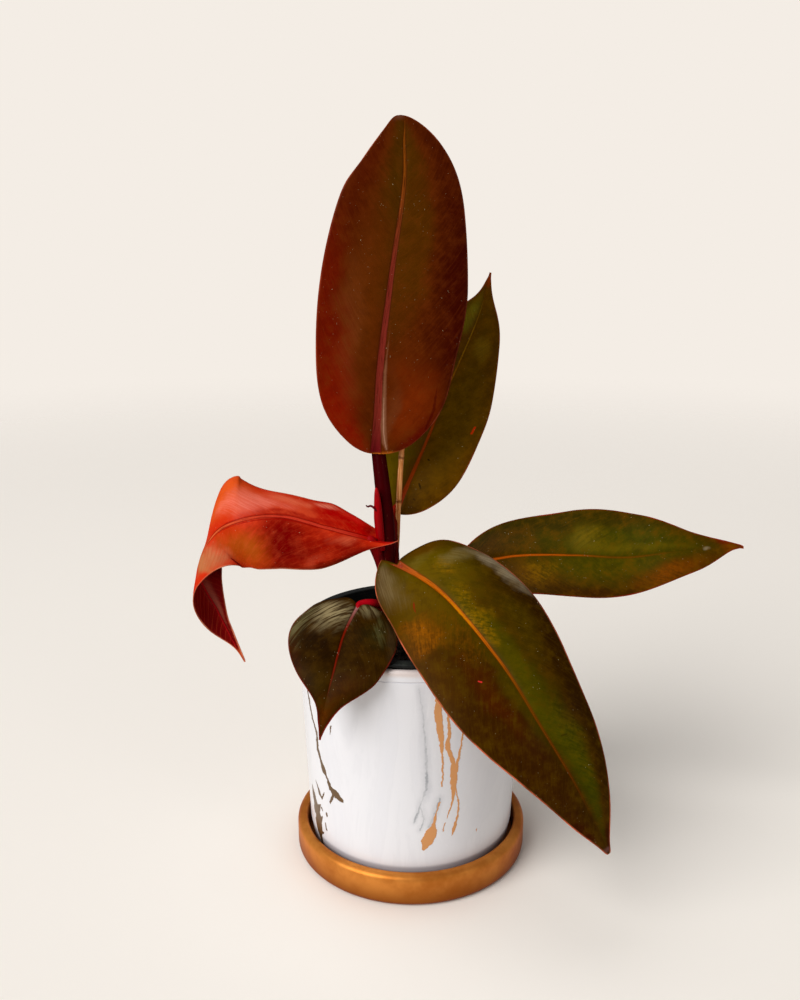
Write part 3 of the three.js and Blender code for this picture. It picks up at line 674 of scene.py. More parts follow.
leafRed = {
    "node": "leaf_red", "slot": "leaf_coral",
    "rib": [(-21.9, -8.7, 191.1), (-46.5, -12.1, 199.4), (-70.8, -12.6, 206.2), (-93.5, -15.6, 204.6),
            (-110.3, -9.8, 193.2), (-118.5, -13.9, 171.9), (-106.7, -13.9, 147.3), (-94.2, -15.6, 121.1)],
    "faces": [(0.33, -0.61, 0.72), (0.28, -0.55, 0.79), (0.11, -0.58, 0.81), (-0.59, -0.72, 0.38),
              (-0.95, -0.11, 0.31), (-0.54, 0.78, -0.31), (0.51, 0.84, 0.19)],
    "left": [2, 7.6, 23.7, 29.3, 26.8, 18.1, 10.5, 1.6, 0.5],
    "right": [6, 8.6, 12.2, 17.4, 22.8, 21.2, 23, 31.6, 32, 30.6, 23.8, 12.4, 4.4, 2.4, 1.6, 1, 0.5],
    "lift": [(-21.4, -1.7), (-14, -4.8), (-7.9, -7.7), (-8, -8.6), (-9.1, -10.6), (3.8, -1.3), (31.1, 17)],
    "bend": [(54.2, 18.7), (58.6, 19), (56, 18.5), (48.9, 17.3), (39.1, 21.6), (24.4, 19.2), (3.3, 10.8)],
    "lobe": (12.8, 6),
    "lobeRise": (10, 0),
    "ribDrift": (0, 0, -0.6, -0.4, 0, 0, 0),
    "channel": (0.8, 1.8),
    "stalk": [(-14, -1, 150, 3.6), (-16.5, -2.5, 172, 3)],
    "seat": (0.6, 2.4, 2.9),
    "stalkTones": ((84, 14, 18), (150, 10, 14)),
    "upper": (194, 41, 12), "under": (115, 5, 6), "margin": (227, 137, 100),
    "vein": (211, 85, 46), "dark": (135, 3, 0), "roughness": 0.36,
    "midrib": {"foot": (174, 5, 2), "tone": (200, 54, 34), "tip": (211, 98, 50),
               "edge": (106, 0, 0), "wide": 1.2, "flare": 0.3, "turn": (0.35, 0.6), "end": 0.78, "taper": 1,
               "line": 0.85},
    "slant": (0.9, 0.6), "spacing": 5, "crumple": (0.8, 0.12, 0.08, 0.4),
    "mottle": (0.12, 0.12, 0.5), "rimShow": 0.8,
    "patches": [
        (0.3, 0.36, 0.5, 0.12, (204, 65, 34), 0.85), (0.65, 0.5, 0.5, 0.09, (212, 83, 26), 0.85),
        (0.5, 0.12, 0.9, 0.17, (172, 0, 0), 0.95), (0.45, 0.08, 0.4, 0.05, (121, 0, 0), 0.8),
        (0.55, 0.24, 0.42, 0.07, (172, 0, 0), 1),
        (0.8, 0.17, 0.25, 0.05, (211, 26, 18), 0.8), (0.12, 0.3, 0.1, 0.14, (164, 19, 8), 0.7),
        (-0.45, 0.19, 0.38, 0.08, (138, 4, 0), 0.85), (-0.85, 0.16, 0.25, 0.08, (131, 3, 0), 0.85),
        (-0.5, 0.34, 0.6, 0.1, (114, 0, 0), 1), (-0.6, 0.47, 0.5, 0.09, (160, 72, 10), 0.9),
        (-0.5, 0.59, 0.6, 0.04, (166, 86, 44), 0.8), (-0.18, 0.16, 0.14, 0.1, (190, 56, 30), 0.7),
        (-0.97, 0.22, 0.14, 0.08, (81, 3, 0), 0.8), (-0.95, 0.36, 0.12, 0.1, (113, 10, 0), 0.6),
        (0, 0.615, 1.4, 0.02, (174, 111, 66), 0.8), (0, 0.02, 1.4, 0.05, (164, 0, 0), 0.85),
    ],
    "underPatches": [
        (0.25, 0.73, 0.3, 0.06, (157, 74, 58), 0.9), (-0.6, 0.76, 0.5, 0.12, (90, 0, 2), 0.85),
        (0.8, 0.72, 0.3, 0.06, (127, 5, 8), 0.7), (0, 0.9, 1.2, 0.06, (180, 72, 30), 0.8),
    ],
    "sheen": [
        (0.4, 0.43, 0.3, 0.07, (240, 132, 112), 0.55), (-0.5, 0.57, 0.5, 0.05, (202, 134, 92), 0.4),
        (0.85, 0.26, 0.16, 0.05, (243, 142, 112), 0.6), (0.7, 0.36, 0.2, 0.05, (239, 129, 92), 0.4),
        (-0.3, 0.2, 0.2, 0.05, (231, 107, 70), 0.4), (-0.8, 0.27, 0.16, 0.02, (225, 94, 60), 0.3),
    ],
    "marks": [
        # Painted shade: dark red lines along both sides of the raised midrib.
        ([(-0.07, 0.52, 0.1), (-0.09, 0.4, 0.3), (-0.08, 0.27, 0.3)], 0.3, 0.4, (143, 0, 0), 0.8),
        ([(0.03, 0.5, 0.1), (0.04, 0.4, 0.25), (0.06, 0.27, 0.2)], 0.3, 0.4, (153, 0, 0), 0.6),
    ],
}

leafHeart = {
    "node": "leaf_heart", "slot": "leaf_dark",
    "rib": [(-29, -31.9, 160.5), (-36.2, -49.8, 151.6), (-41.4, -66.6, 136.4), (-45.2, -74.6, 120.1),
            (-47.4, -74.6, 104.6)],
    "faces": [(-0.1, -0.5, 0.85), (-0.1, -0.85, 0.5), (-0.1, -1, 0.15)],
    "left": [6.6, 19.6, 27.1, 28.8, 23, 8.7, 3, 0.8, 0.5],
    "right": [10.8, 23.5, 27.2, 28.4, 19.8, 5.5, 1.9, 0.8, 0.5],
    "lift": [(6, 6), (8, 8), (8, 8)],
    "bend": [(30, 30), (16, 16), (6, 6)],
    "lobe": (3.4, 5.6),
    "ribDrift": (0.4, 0.3, -0.2, -0.5, 0, 0, 0),
    "channel": (0.7, 1.6),
    "stalk": [(-12, -7, 138, 3), (-11, -16, 152, 2.5), (-20, -27, 160.6, 2.2)],
    "seat": (2.6, 0.5, 1.8),
    "stalkTones": ((70, 10, 12), (158, 4, 18)),
    "upper": (46, 25, 0), "under": (90, 52, 19), "margin": (148, 40, 32),
    "vein": (69, 46, 4), "dark": (19, 7, 0), "roughness": 0.34,
    "midrib": {"foot": (158, 103, 99), "tone": (136, 69, 61), "tip": (111, 17, 0),
               "edge": (36, 5, 0), "wide": 1, "flare": 0.2, "turn": (0.16, 0.32), "end": 0.52, "taper": 1,
               "line": 0.5},
    "slant": (0.7, 0.8), "spacing": 4, "crumple": (0.4, 0.24, 0.6, 0.9),
    "mottle": (0.35, 0.3, 1), "rimShow": 0.7,
    "patches": [
        (-0.35, 0.56, 0.5, 0.1, (64, 31, 0), 0.8), (0.3, 0.55, 0.45, 0.1, (54, 35, 0), 0.7),
        (0, 0.7, 0.8, 0.12, (83, 37, 0), 0.85), (-0.6, 0.3, 0.4, 0.1, (40, 31, 4), 0.8),
        (-0.95, 0.3, 0.14, 0.14, (69, 51, 30), 0.6), (0.85, 0.78, 0.4, 0.12, (87, 3, 0), 0.8),
        (-0.95, 0.76, 0.3, 0.16, (77, 5, 0), 0.8), (0, 0.94, 1.4, 0.09, (95, 12, 2), 0.85),
        (0.3, 0.4, 0.5, 0.06, (31, 14, 0), 0.8), (0.95, 0.45, 0.16, 0.16, (54, 18, 0), 0.7),
    ],
    "sheen": [
        (0.45, 0.2, 0.42, 0.14, (151, 135, 96), 0.85), (-0.32, 0.1, 0.36, 0.1, (124, 111, 76), 0.8),
        (0.88, 0.28, 0.2, 0.14, (108, 101, 66), 0.8), (-0.7, 0.26, 0.2, 0.1, (83, 79, 44), 0.6),
    ],
    "marks": [],
}

leafFront = {
    "node": "leaf_front", "slot": "leaf_olive",
    "rib": [(-8.3, -20, 180.8), (17.1, -43, 170.9), (43, -70, 147.2), (61.4, -89, 122.6), (81.4, -96, 90.4),
            (98, -98, 54.4)],
    "faces": [(-0.2, -0.55, 0.8), (0.1, -0.75, 0.65), (0.3, -0.9, 0.3)],
    "left": [5, 25.8, 33.3, 37.9, 31.3, 25.7, 14.1, 4.1, 0.5],
    "right": [3.5, 20.3, 30.1, 36.7, 36.6, 25.1, 14.4, 4.4, 0.5],
    "lift": [(10, 8), (8, 8), (8, 8)],
    "bend": [(34, 34), (20, 20), (14, 14)],
    "lobe": (0.6, 9.1),
    "ribDrift": (0, -0.6, 0.1, 0, 0.7, 0.4, 0),
    "channel": (0.9, 2.4),
    "stalk": [(-12, -4, 140, 3.8), (-11.5, -9, 158, 3.3)],
    "seat": (-3, 4.4, 2.8),
    "stalkTones": ((84, 20, 20), (140, 54, 30)),
    "upper": (58, 34, 0), "under": (115, 71, 24), "margin": (195, 98, 66),
    "vein": (93, 67, 0), "dark": (31, 14, 0), "roughness": 0.36,
    "midrib": {"foot": (154, 61, 30), "tone": (182, 89, 6), "tip": (113, 57, 0),
               "edge": (94, 37, 0), "wide": 1.9, "flare": 0.8, "turn": (0.38, 0.52), "end": 0.7, "taper": 1.6,
               "line": 0.5},
    "slant": (0.8, 0.7), "spacing": 8, "crumple": (0.8, 0.12, 0.08, 0.4),
    "mottle": (0.24, 0.22, 0.9), "rimShow": 1,
    "patches": [
        (-0.2, 0.22, 0.9, 0.14, (95, 77, 0), 0.85), (0.35, 0.27, 0.7, 0.12, (89, 63, 0), 0.8),
        (-0.3, 0.66, 0.34, 0.2, (56, 61, 0), 0.8), (-0.12, 0.45, 0.24, 0.2, (70, 65, 0), 0.75),
        (-0.95, 0.46, 0.4, 0.28, (37, 17, 0), 0.9), (-0.55, 0.42, 0.25, 0.08, (64, 48, 0), 0.7),
        (0.6, 0.62, 0.55, 0.22, (54, 25, 0), 0.9), (0.85, 0.42, 0.3, 0.08, (74, 42, 0), 0.7),
        (0.4, 0.5, 0.2, 0.1, (78, 19, 0), 0.4), (0.1, 0.5, 0.12, 0.12, (72, 59, 0), 0.5),
        (0.9, 0.82, 0.45, 0.08, (52, 7, 0), 0.8), (-0.8, 0.88, 0.5, 0.06, (52, 7, 0), 0.8),
        (-0.7, 0.12, 0.35, 0.06, (89, 54, 0), 0.7), (0.3, 0.06, 0.5, 0.05, (72, 63, 0), 0.7),
        (0.7, 0.33, 0.34, 0.05, (109, 57, 0), 0.5), (0, 0.925, 1, 0.025, (113, 71, 70), 0.7),
    ],
    "spots": [
        (0.7, 0.33, 0.24, 0.05, (171, 94, 0), 0.5), (-0.2, 0.34, 0.2, 0.045, (167, 119, 0), 0.45),
        (-0.08, 0.38, 0.1, 0.04, (171, 117, 0), 0.5), (-0.4, 0.25, 0.2, 0.035, (156, 106, 0), 0.4),
        (0.25, 0.37, 0.3, 0.07, (126, 71, 0), 0.4), (-0.4, 0.62, 0.3, 0.1, (107, 88, 0), 0.3),
    ],
    "sheen": [
        (0.66, 0.14, 0.34, 0.09, (119, 100, 66), 0.6), (-0.95, 0.31, 0.16, 0.07, (163, 146, 116), 0.6),
        (-0.72, 0.24, 0.3, 0.03, (136, 119, 74), 0.35), (-0.3, 0.16, 0.5, 0.03, (113, 96, 34), 0.3),
    ],
    "marks": [
        ([(0.39, 0.456, 0.4), (0.415, 0.452, 0.2)], 0.3, 0.2, (216, 46, 44), 0.9),
        # A painted highlight on the raised midrib: its bright amber stretch.
        ([(0, 0.28, -0.3), (0.01, 0.34, 0.4), (0, 0.39, -0.2)], 0.9, 0.8, (199, 121, 0), 0.75),
        ([(0.46, 0.252, -0.1), (0.52, 0.265, 0.3), (0.56, 0.285, -0.2)], 0.6, 0.6, (129, 18, 4), 0.8),
        ([(-0.32, 0.61, 0.3), (-0.22, 0.607, 0.3)], 0.4, 0.4, (45, 31, 0), 0.6),
    ],
}

leafRight = {
    "node": "leaf_right", "slot": "leaf_olive",
    "rib": [(30.4, 18, 166.8), (60.3, 14, 174.7), (92.7, 9, 176.5), (123.2, 4, 176.4), (152, 0, 181.2),
            (187.2, 0, 183.7)],
    "faces": [(0.1, -0.8, 0.6), (0, -0.85, 0.55), (0, -0.9, 0.5)],
    "left": [4, 11.7, 19.2, 24, 28.1, 23.5, 10.2, 3.7, 0.5],
    "right": [4.8, 13.1, 22, 24.3, 24.4, 18.4, 11.1, 1.2, 0.5],
    "lift": [(12, 12), (12, 12), (10, 10)],
    "bend": [(20, 20), (20, 20)],
    "lobe": (0.7, 0),
    "ribDrift": (0.6, 0.3, 0.5, 0, -0.3, 1.2, 0),
    "channel": (0.7, 2),
    "stalk": [(-11, 0, 140, 3.6), (3, 8, 153, 3), (17, 15, 160, 2.8)],
    "seat": (-2.5, 4.9, 2.5),
    "stalkTones": ((84, 20, 20), (120, 50, 24)),
    "upper": (66, 41, 0), "under": (114, 75, 24), "margin": (151, 44, 24),
    "vein": (111, 70, 0), "dark": (36, 21, 0), "roughness": 0.4,
    "midrib": {"foot": (115, 53, 2), "tone": (171, 75, 2), "tip": (108, 61, 0),
               "edge": (88, 44, 0), "wide": 1.35, "flare": 0.1, "turn": (0.4, 0.52), "end": 0.64,
               "taper": 1.6, "line": 0.5},
    "slant": (0.8, 0.7), "spacing": 6, "crumple": (0.8, 0.12, 0.08, 0.4),
    "mottle": (0.3, 0.24, 1), "rimShow": 0.9,
    "patches": [
        (-0.3, 0.55, 0.7, 0.26, (57, 60, 0), 0.85), (0.25, 0.5, 0.5, 0.2, (64, 59, 0), 0.8),
        (-0.85, 0.35, 0.3, 0.3, (47, 40, 0), 0.8), (-0.45, 0.46, 0.3, 0.06, (94, 76, 2), 0.45),
        (-0.2, 0.58, 0.12, 0.14, (98, 82, 4), 0.5), (0.6, 0.3, 0.5, 0.08, (94, 57, 0), 0.7),
        (0.7, 0.7, 0.45, 0.12, (98, 49, 0), 0.75), (0.92, 0.5, 0.2, 0.14, (51, 24, 0), 0.85),
        (-0.15, 0.775, 0.16, 0.012, (133, 118, 90), 0.7), (0, 0.87, 1.2, 0.05, (111, 53, 0), 0.8),
        (-0.95, 0.86, 0.4, 0.06, (99, 4, 0), 0.8), (0.95, 0.88, 0.4, 0.05, (113, 7, 0), 0.85),
        (0, 0.95, 1.4, 0.05, (106, 26, 8), 0.8),
    ],
    "spots": [
        (0.5, 0.36, 0.4, 0.06, (153, 103, 0), 0.5), (0.7, 0.66, 0.4, 0.08, (143, 68, 0), 0.4),
        (-0.4, 0.48, 0.3, 0.08, (123, 95, 0), 0.3),
    ],
    "sheen": [(-0.35, 0.45, 0.3, 0.05, (127, 107, 30), 0.2)],
    "marks": [],
}

leaves = [leafUpright, leafBack, leafRed, leafHeart, leafFront, leafRight]


def ribShare(station):
    # How far up the midrib a row of points lies. Rows are close together at both ends of a blade.
    return (1 - math.cos(math.pi * station)) / 2


def ribFrame(leaf, v):
    # The midrib's place at v, and the ways ahead, right and up from there.
    look = leafAll["look"]
    point = along(leaf["rib"], v)
    ahead = (along(leaf["rib"], min(v + look, 1)) - along(leaf["rib"], max(v - look, 0))).normalized()
    right = ahead.cross(along(leaf["faces"], v)).normalized()
    return point, ahead, right, right.cross(ahead)


def bladeRow(leaf, station):
    # All that the points of one row across the blade share.
    v = ribShare(station)
    return {
        "frame": ribFrame(leaf, v), "width": (along(leaf["left"], station), along(leaf["right"], station)),
        "lift": along(leaf["lift"], v), "bend": along(leaf["bend"], v), "station": station,
    }


def bladePoint(leaf, row, u):
    half = 0 if u < 0 else 1
    out = abs(u)
    station = row["station"]
    point, ahead, right, up = row["frame"]
    across = row["width"][half] * u
    angle = math.radians(row["lift"][half] - row["bend"][half] * out / 2)
    fade = max(0, 1 - station / leafAll["lobeEnd"]) ** 2
    back = leaf["lobe"][half] * fade * (1 - (1 - out) ** 2)
    lobe = leaf.get("lobeRise", (0, 0))[half] * fade**2 * out
    height, waves = leafAll["wave"]
    wave = height * math.sin(math.tau * waves * station + u) * math.sin(math.pi * station) * out**3
    deep, wide = leaf["channel"]
    aside = across - along(leaf["ribDrift"], station)
    fold = deep * (1 - station) * math.exp(-((aside / (wide * (1.1 - 0.7 * station))) ** 2))
    rise = abs(across) * math.sin(angle) + wave - fold + lobe
    return point + right * across * math.cos(angle) + up * rise - ahead * back, across, back


def bladeShell(leaf):
    # share: across (-1 to 1) and along (0 to 1). place: millimetres across, along and in from the margin.
    shell = bmesh.new()
    bmesh.ops.create_grid(shell, x_segments=leafAll["across"], y_segments=leafAll["down"], size=1)
    share = shell.verts.layers.float_vector.new("share")
    place = shell.verts.layers.float_vector.new("place")
    rise = shell.verts.layers.float_vector.new("rise")
    under = shell.verts.layers.float.new("under")
    rows = {}
    length = 0.0
    last = along(leaf["rib"], 0)
    for key in sorted({round(point.co.y, 5) for point in shell.verts}):
        row = bladeRow(leaf, (key + 1) / 2)
        length += (row["frame"][0] - last).length
        last = row["frame"][0]
        row["length"] = length
        rows[key] = row
    ups = {}
    for point in shell.verts:
        row = rows[round(point.co.y, 5)]
        u = math.copysign(abs(point.co.x) ** leafAll["crowding"], point.co.x)
        spot, across, back = bladePoint(leaf, row, u)
        width = row["width"][0 if u < 0 else 1]
        aside = across - along(leaf["ribDrift"], row["station"])
        point.co = spot * mm
        point[share] = (u, row["station"], 0)
        point[place] = (aside, row["length"] - back, width * (1 - abs(u)))
        ups[point] = row["frame"][3]
    shell.normal_update()
    thick, thin, thinFrom = leafAll["thickness"]
    for point in shell.verts:
        through = thin + (thick - thin) * min(point[place].z / thinFrom, 1)
        side = 1 if point.normal.dot(ups[point]) > 0 else -1
        point[rise] = point.normal * side * through / 2 * mm
    made = bmesh.ops.extrude_face_region(shell, geom=shell.faces[:], use_keep_orig=True)["geom"]
    lower = {item for item in made if isinstance(item, bmesh.types.BMVert)}
    for point in shell.verts:
        point.co += point[rise] * (-1 if point in lower else 1)
        point[under] = 1.0 if point in lower else 0.0
    shell.verts.layers.float_vector.remove(rise)
    return shell


def leafSpot(leaf, u, s):
    # Where a place on the blade lies on its flat map: millimetres across and along.
    count = leafAll["spotSteps"]
    ribs = [along(leaf["rib"], ribShare(s * i / count)) for i in range(count + 1)]
    length = sum((after - before).length for before, after in zip(ribs, ribs[1:]))
    return u * along(leaf["left"] if u < 0 else leaf["right"], s) - along(leaf["ribDrift"], s), length


def addPatches(paint, tone, patches, place, ragged, cover=1):
    # Soft oval areas of another tone. ragged is what frays their edges, and cover is where they show.
    for u, s, wide, long, patchTone, strength in patches:
        away = paint.arrow("MULTIPLY", paint.arrow("SUBTRACT", place, (u, s, 0)), (1 / wide, 1 / long, 0))
        away = paint.arrow("LENGTH", away, (0, 0, 0), "Value") + ragged
        tone = paint.mix(tone, patchTone, paint.step(away, 1.3, 0.2) * (cover * strength))
    return tone


def addMarks(paint, tone, leaf, lengths, ragged):
    flat = paint.arrow("MULTIPLY", lengths, (1, 1, 0))
    for drops, soft, fray, markTone, strength in leaf["marks"]:
        depth = strokeDepth(paint, flat, [[(*leafSpot(leaf, u, s), spread) for u, s, spread in drops]])
        tone = paint.mix(tone, markTone, paint.step(depth + ragged * fray, -soft, 0.2) * strength)
    return tone


def leafPaint(leaf):
    size = leafAll
    paint = Paint(leaf["node"] + "_skin", Specular_IOR_Level=0, Coat_Weight=size["coat"],
                  Coat_Roughness=leaf["roughness"])
    spot = paint.place()
    shares = paint.attribute("share", "Vector")
    lengths = paint.attribute("place", "Vector")
    u, s = (paint.part(shares, axis) for axis in range(2))
    across, down, rim = (paint.part(lengths, axis) for axis in range(3))
    out = abs(across)
    under = paint.step(paint.attribute("under"), 0.4, 0.6)
    warped = paint.arrow("ADD", shares, paint.wander(spot, size["wander"], size["wanderReach"]))
    cloudy = paint.cloud(spot, *size["cloudy"])
    mottle = paint.cloud(spot, *size["mottle"])
    speckle = paint.cloud(spot, *size["speckle"])

    # Side veins leave the midrib and bend towards the tip; streaks, flecks and crumples run along them.
    slope, more = leaf["slant"]
    phase = down - out * (abs(u) * more + slope)
    streaks = paint.cloud(paint.vector(phase, across * 0.09, 0), *size["streaks"])
    flecks = paint.cloud(paint.vector(phase, across * 0.4, 4), *size["flecks"])
    crumpleScale, crumpleAcross, crumpleHeight, crumpleShow = leaf["crumple"]
    crumple = paint.cloud(paint.vector(phase, across * crumpleAcross, 9), crumpleScale, 3, 0.6)
    sway = (paint.cloud(spot, *size["sway"]) - 0.5) * 0.7
    between = paint.maths("PINGPONG", phase * (1 / leaf["spacing"]) + sway, 0.5)
    vein = paint.step(between, 0.07, 0)

    # The upper side's tones, from the broad patches to the small flecks and the sheen, which is painted
    # highlight.
    dimShow, litShow, fray = leaf["mottle"]
    frayed = (mottle - 0.5) * fray + (flecks - 0.5) * 0.6
    tone = addPatches(paint, leaf["upper"], leaf["patches"], warped, frayed)
    dim = paint.step(mottle, 0.58, 0.34) * dimShow + paint.step(flecks, 0.5, 0.36) * 0.14
    tone = paint.mix(tone, leaf["dark"], dim)
    lit = paint.step(mottle, 0.46, 0.7) * litShow + paint.step(flecks, 0.52, 0.66) * 0.12 + vein * 0.08
    tone = paint.mix(tone, leaf["vein"], lit + paint.step(speckle, 0.55, 0.7) * 0.08)
    broken = paint.step(flecks * 0.6 + speckle * 0.4, 0.4, 0.66)
    tone = addPatches(paint, tone, leaf.get("spots", []), warped, frayed, broken)
    # Sheen patches are painted highlights, broken up along the crumples.
    shine = paint.step(crumple, 0.43, 0.58) * crumpleShow + (1 - crumpleShow)
    tone = addPatches(paint, tone, leaf["sheen"], warped, (flecks - 0.5) * 0.7, shine)

    # The midrib, with painted shade in a line along each side of it.
    rib = leaf["midrib"]
    half = (1 - s) ** rib["taper"] * rib["wide"] + (1 - s) ** 8 * rib["flare"]
    fading = paint.step(s, rib["end"] + 0.1, rib["end"] - 0.08)
    onRib = paint.step(out - half, 0.3, -0.35) * fading * paint.step(s, 0.02, 0.05)
    ribSideShade = paint.step(abs(out - half - 0.2), 0.6, 0) * fading
    fibre = paint.cloud(paint.vector(across, down * 0.06, 0), *size["fibre"])
    ribTone = paint.mix(rib["foot"], rib["tone"], paint.step(s, 0.05, 0.25))
    ribTone = paint.mix(ribTone, rib["tip"], paint.step(s, *rib["turn"]))
    ribTone = paint.mix(ribTone, rib["edge"], paint.step(fibre, 0.48, 0.7) * 0.7)
    tone = paint.mix(tone, rib["edge"], ribSideShade * rib["line"])
    tone = paint.mix(tone, ribTone, onRib * 0.94)

    # Marks and dust, then the underside and the margin.
    tone = addMarks(paint, tone, leaf, lengths, (flecks * 0.5 + speckle * 0.5 - 0.5) * 4)
    dusty = paint.step(paint.cloud(spot, *size["dustSize"]), 0.75, 0.79)
    dusty = dusty * paint.step(paint.cloud(spot, *size["dustPlace"]), 0.45, 0.6)
    tone = paint.mix(tone, size["dust"], dusty * 0.5)
    below = addPatches(paint, leaf["under"], leaf.get("underPatches", []), warped, frayed)
    below = paint.mix(below, leaf["dark"], paint.step(flecks, 0.5, 0.3) * 0.3)
    below = paint.mix(below, leaf["vein"], vein * 0.25 + paint.step(streaks, 0.5, 0.7) * 0.12)
    tone = paint.mix(tone, below, under)
    edge = paint.step(rim, 0.9, 0.3) * (0.3 + paint.step(cloudy, 0.42, 0.62) * 0.7) * leaf["rimShow"]
    paint.feed("Base Color", paint.mix(tone, leaf["margin"], edge))

    # Heights in millimetres.
    height = streaks * 0.04 + flecks * 0.06 - vein * 0.03 + cloudy * 0.5 + crumple * crumpleHeight
    height = height + onRib * paint.step(out, half, 0) * 0.2
    paint.feed("Normal", paint.bump(height * (1 - under * 1.4), 1))
    return paint.material


def makeLeaf(leaf):
    addPiece(leaf["node"] + "_blade", bladeShell(leaf), leafPaint(leaf), leaf["node"])


# Stem and stalks. The main stem is x, y, z and radius. Each stalk goes on under its blade as the midrib, with
# a row at each of ribStops: it starts there at ribShare of its radius, thins with the power ribTaper and is
# at least thinnest. mainMesh, stalkMesh: what tubeShell takes. bladeFrom: where the upper tone is full.
stem = {
    "main": [(-11, -3, 104, 5.5), (-11, -3, 126, 6.8), (-11.5, -3, 140, 7.4), (-12.5, -2, 155, 7.4),
             (-14, -1, 170, 5.5)],
    "mainMesh": (28, 90, (0, 0.12)), "stalkMesh": (24, 180, (0, 0.01)), "bladeFrom": 0.8,
    "ribStops": (0.012, 0.05, 0.12, 0.2, 0.3, 0.42, 0.55, 0.7, 0.84, 0.96), "ribShare": 0.7, "ribTaper": 1.3,
    "thinnest": 0.3, "mainTones": ((48, 12, 4), (64, 4, 4)), "speckTone": (130, 70, 50), "roughness": 0.3,
    "coat": 0.04, "streak": (700, 3, 0.6), "streakStretch": (1, 1, 0.07), "blotch": (90, 3),
    "speck": (1000, 1), "speckStretch": (1, 1, 0.45), "relief": 0.3,
}


def stalkRows(leaf):
    rows = [Vector(row) for row in leaf["stalk"]]
    behind, under, radius = leaf["seat"]
    point, ahead, _, up = ribFrame(leaf, 0)
    rows.append(Vector((*(point - ahead * behind - up * under), radius)))
    for v in stem["ribStops"]:
        point, _, _, up = ribFrame(leaf, v)
        station = math.acos(1 - 2 * v) / math.pi
        spare = radius * stem["ribShare"] - stem["thinnest"]
        thick = stem["thinnest"] + spare * (1 - v) ** stem["ribTaper"]
        fold = leaf["channel"][0] * (1 - station)
        rows.append(Vector((*(point - up * (fold + thick)), thick)))
    return rows


def stalkPaint(name, tones, last):
    # tones: at the foot and at the blade. last: where along the tube the blade begins.
    size = stem
    paint = Paint(name, Roughness=size["roughness"], Specular_IOR_Level=0, Coat_Weight=size["coat"],
                  Coat_Roughness=size["roughness"])
    place = paint.place()
    streak = paint.cloud(paint.arrow("MULTIPLY", place, size["streakStretch"]), *size["streak"])
    blotch = paint.cloud(place, *size["blotch"])
    speck = paint.cloud(paint.arrow("MULTIPLY", place, size["speckStretch"]), *size["speck"])
    speck = paint.step(speck, 0.7, 0.76)
    length = paint.attribute("length") + (blotch - 0.5) * 0.3
    tone = paint.mix(tones[0], tones[1], paint.step(length, 0.05, last))
    tone = paint.mix(tone, size["mainTones"][0], paint.step(streak, 0.5, 0.8) * 0.35)
    paint.feed("Base Color", paint.mix(tone, size["speckTone"], speck * 0.3))
    paint.feed("Normal", paint.bump(streak * 0.5 + blotch + speck * 0.3, size["relief"]))
    return paint.material


def makeStem():
    bark = stalkPaint("stemBark", stem["mainTones"], stem["bladeFrom"])
    addPiece("main_stem", tubeShell(stem["main"], *stem["mainMesh"]), bark, "stem")
    for leaf in leaves:
        rows = stalkRows(leaf)
        bladeFrom = len(leaf["stalk"]) / (len(rows) - 1)
        skin = stalkPaint(leaf["node"] + "_stalkSkin", leaf["stalkTones"], bladeFrom)
        addPiece(leaf["node"] + "_stalk", tubeShell(rows, *stem["stalkMesh"]), skin, None)


# The next leaf's red pointed sheath, with its thin dried curl.
sheath = {
    "body": [(-16.8, -4.6, 184, 2.2), (-17.5, -5.2, 192, 2.4), (-18.4, -6, 202, 2.5), (-18.7, -5.9, 209, 2.2),
             (-19.2, -5.4, 216, 1.5), (-19.6, -5, 220, 0.7)],
    "curl": [(-18.6, -7.5, 206.4, 0.7), (-20.6, -7.5, 208.9, 0.7), (-22.6, -7, 210, 0.6),
             (-24.2, -7, 209.6, 0.5), (-25.3, -7, 210.4, 0.3)],
    "bodyMesh": (20, 60, (0, 0.06)), "curlMesh": (12, 50, (0, 0.05)), "red": (150, 0, 6),
    "tip": (166, 10, 16), "dry": (70, 2, 8), "gloss": 0.06, "roughness": 0.32, "dryRoughness": 0.7,
    "streak": (800, 3), "streakStretch": (1, 1, 0.1), "twist": (900, 3), "relief": 0.2,
}


def makeSheath():
    size = sheath
    paint = Paint("sheathSkin", Roughness=size["roughness"], Specular_IOR_Level=size["gloss"])
    streak = paint.cloud(paint.arrow("MULTIPLY", paint.place(), size["streakStretch"]), *size["streak"])
    tone = paint.mix(size["red"], size["tip"], paint.step(paint.attribute("length"), 0.5, 1) * 0.8)
    paint.feed("Base Color", paint.mix(tone, size["dry"], paint.step(streak, 0.45, 0.75) * 0.5))
    paint.feed("Normal", paint.bump(streak, size["relief"]))
    body = tubeShell(size["body"], *size["bodyMesh"])
    addPiece("new_leaf_tip", body, paint.material, "new_leaf_sheath")
    dry = Paint("driedCurl", Roughness=size["dryRoughness"], Specular_IOR_Level=size["gloss"])
    twist = dry.cloud(dry.place(), *size["twist"])
    dry.feed("Base Color", dry.mix(size["dry"], size["tip"], dry.step(twist, 0.4, 0.75) * 0.3))
    addPiece("dried_curl", tubeShell(size["curl"], *size["curlMesh"]), dry.material, None)


# Floor, lights and backdrop, in metres. fade: how far out the floor is gone, and is full. The key is a wide
# soft sun. A lamp: its name, where it stands, how wide it is, its watts. aim: how high the lights look.
studio = {
    "floorRadius": 3, "floorDrop": 0.0001, "floorSides": 96, "floor": (252, 245, 236), "floorRoughness": 0.7,
    "fade": (2.2, 0.5), "backdrop": (244, 237, 229), "aim": 0.18,
    "key": (-1.05, -1.0, 1.25), "keyStrength": 2.7, "keyWidth": 45, "fill": 0.25,
    "lamps": [("overhead", (-0.45, 0.15, 1.5), 0.9, 4), ("right", (1.3, -1.2, 0.8), 0.6, 2)],
}


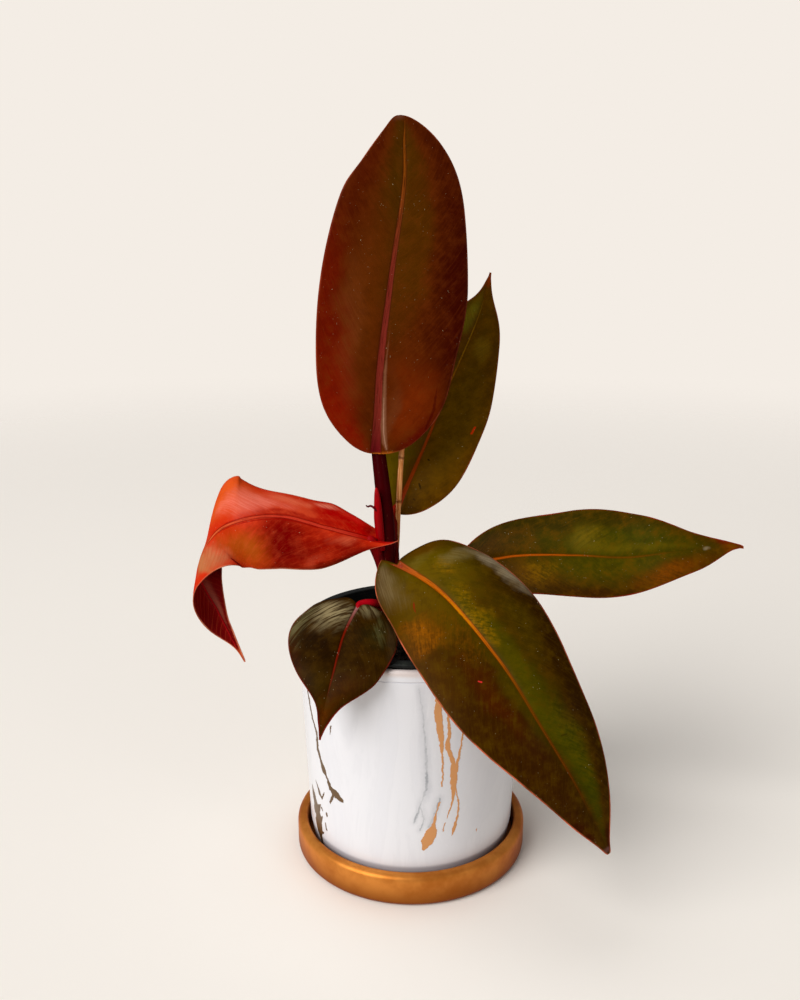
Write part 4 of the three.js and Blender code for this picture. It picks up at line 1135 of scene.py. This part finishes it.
def makeFloor():
    shell = bmesh.new()
    bmesh.ops.create_circle(shell, cap_ends=True, segments=studio["floorSides"], radius=studio["floorRadius"])
    bmesh.ops.translate(shell, vec=(0, 0, -studio["floorDrop"]), verts=shell.verts)
    mesh = bpy.data.meshes.new("floor")
    shell.to_mesh(mesh)
    shell.free()
    paint = Paint("paleFloor", Roughness=studio["floorRoughness"], Base_Color=colour(studio["floor"]))
    away = paint.arrow("LENGTH", paint.place(), (0, 0, 0), "Value")
    paint.feed("Alpha", paint.step(away, *studio["fade"]))
    mesh.materials.append(paint.material)
    floor = bpy.data.objects.new("floor", mesh)
    bpy.context.scene.collection.objects.link(floor)


def addLight(name, kind, place, energy):
    lamp = bpy.data.lights.new(name, kind)
    lamp.energy = energy
    stand = bpy.data.objects.new(name, lamp)
    stand.location = place
    stand.rotation_euler = (Vector((0, 0, studio["aim"])) - Vector(place)).to_track_quat("-Z", "Y").to_euler()
    bpy.context.scene.collection.objects.link(stand)
    return lamp


def makeLights():
    addLight("key", "SUN", studio["key"], studio["keyStrength"]).angle = math.radians(studio["keyWidth"])
    for name, place, wide, watts in studio["lamps"]:
        lamp = addLight(name, "AREA", place, watts)
        lamp.shape = "DISK"
        lamp.size = wide
    world = bpy.data.worlds.new("studio")
    world.use_nodes = True
    bpy.context.scene.world = world
    tree = world.node_tree
    # The camera sees a pale backdrop; as a light it is white and dim.
    light = tree.nodes["Background"]
    light.inputs["Strength"].default_value = studio["fill"]
    light.inputs["Color"].default_value = (1, 1, 1, 1)
    backdrop = tree.nodes.new("ShaderNodeBackground")
    backdrop.inputs["Color"].default_value = colour(studio["backdrop"])
    path = tree.nodes.new("ShaderNodeLightPath")
    either = tree.nodes.new("ShaderNodeMixShader")
    tree.links.new(path.outputs["Is Camera Ray"], either.inputs["Fac"])
    tree.links.new(light.outputs["Background"], either.inputs[1])
    tree.links.new(backdrop.outputs["Background"], either.inputs[2])
    tree.links.new(either.outputs["Shader"], tree.nodes["World Output"].inputs["Surface"])
    bpy.context.scene.view_settings.view_transform = "Standard"


makeCamera()
makeFloor()
makeLights()
print("camera, floor and lights ready")
makeSaucer()
makeCeramicPot()
makeGrowersPot()
print("saucer and pots ready")
makePottingMix()
makeStake()
print("potting mix and stake ready")
makeStem()
makeSheath()
print("stem, stalks and sheath ready")
for leaf in leaves:
    makeLeaf(leaf)
    print(leaf["node"], "ready")
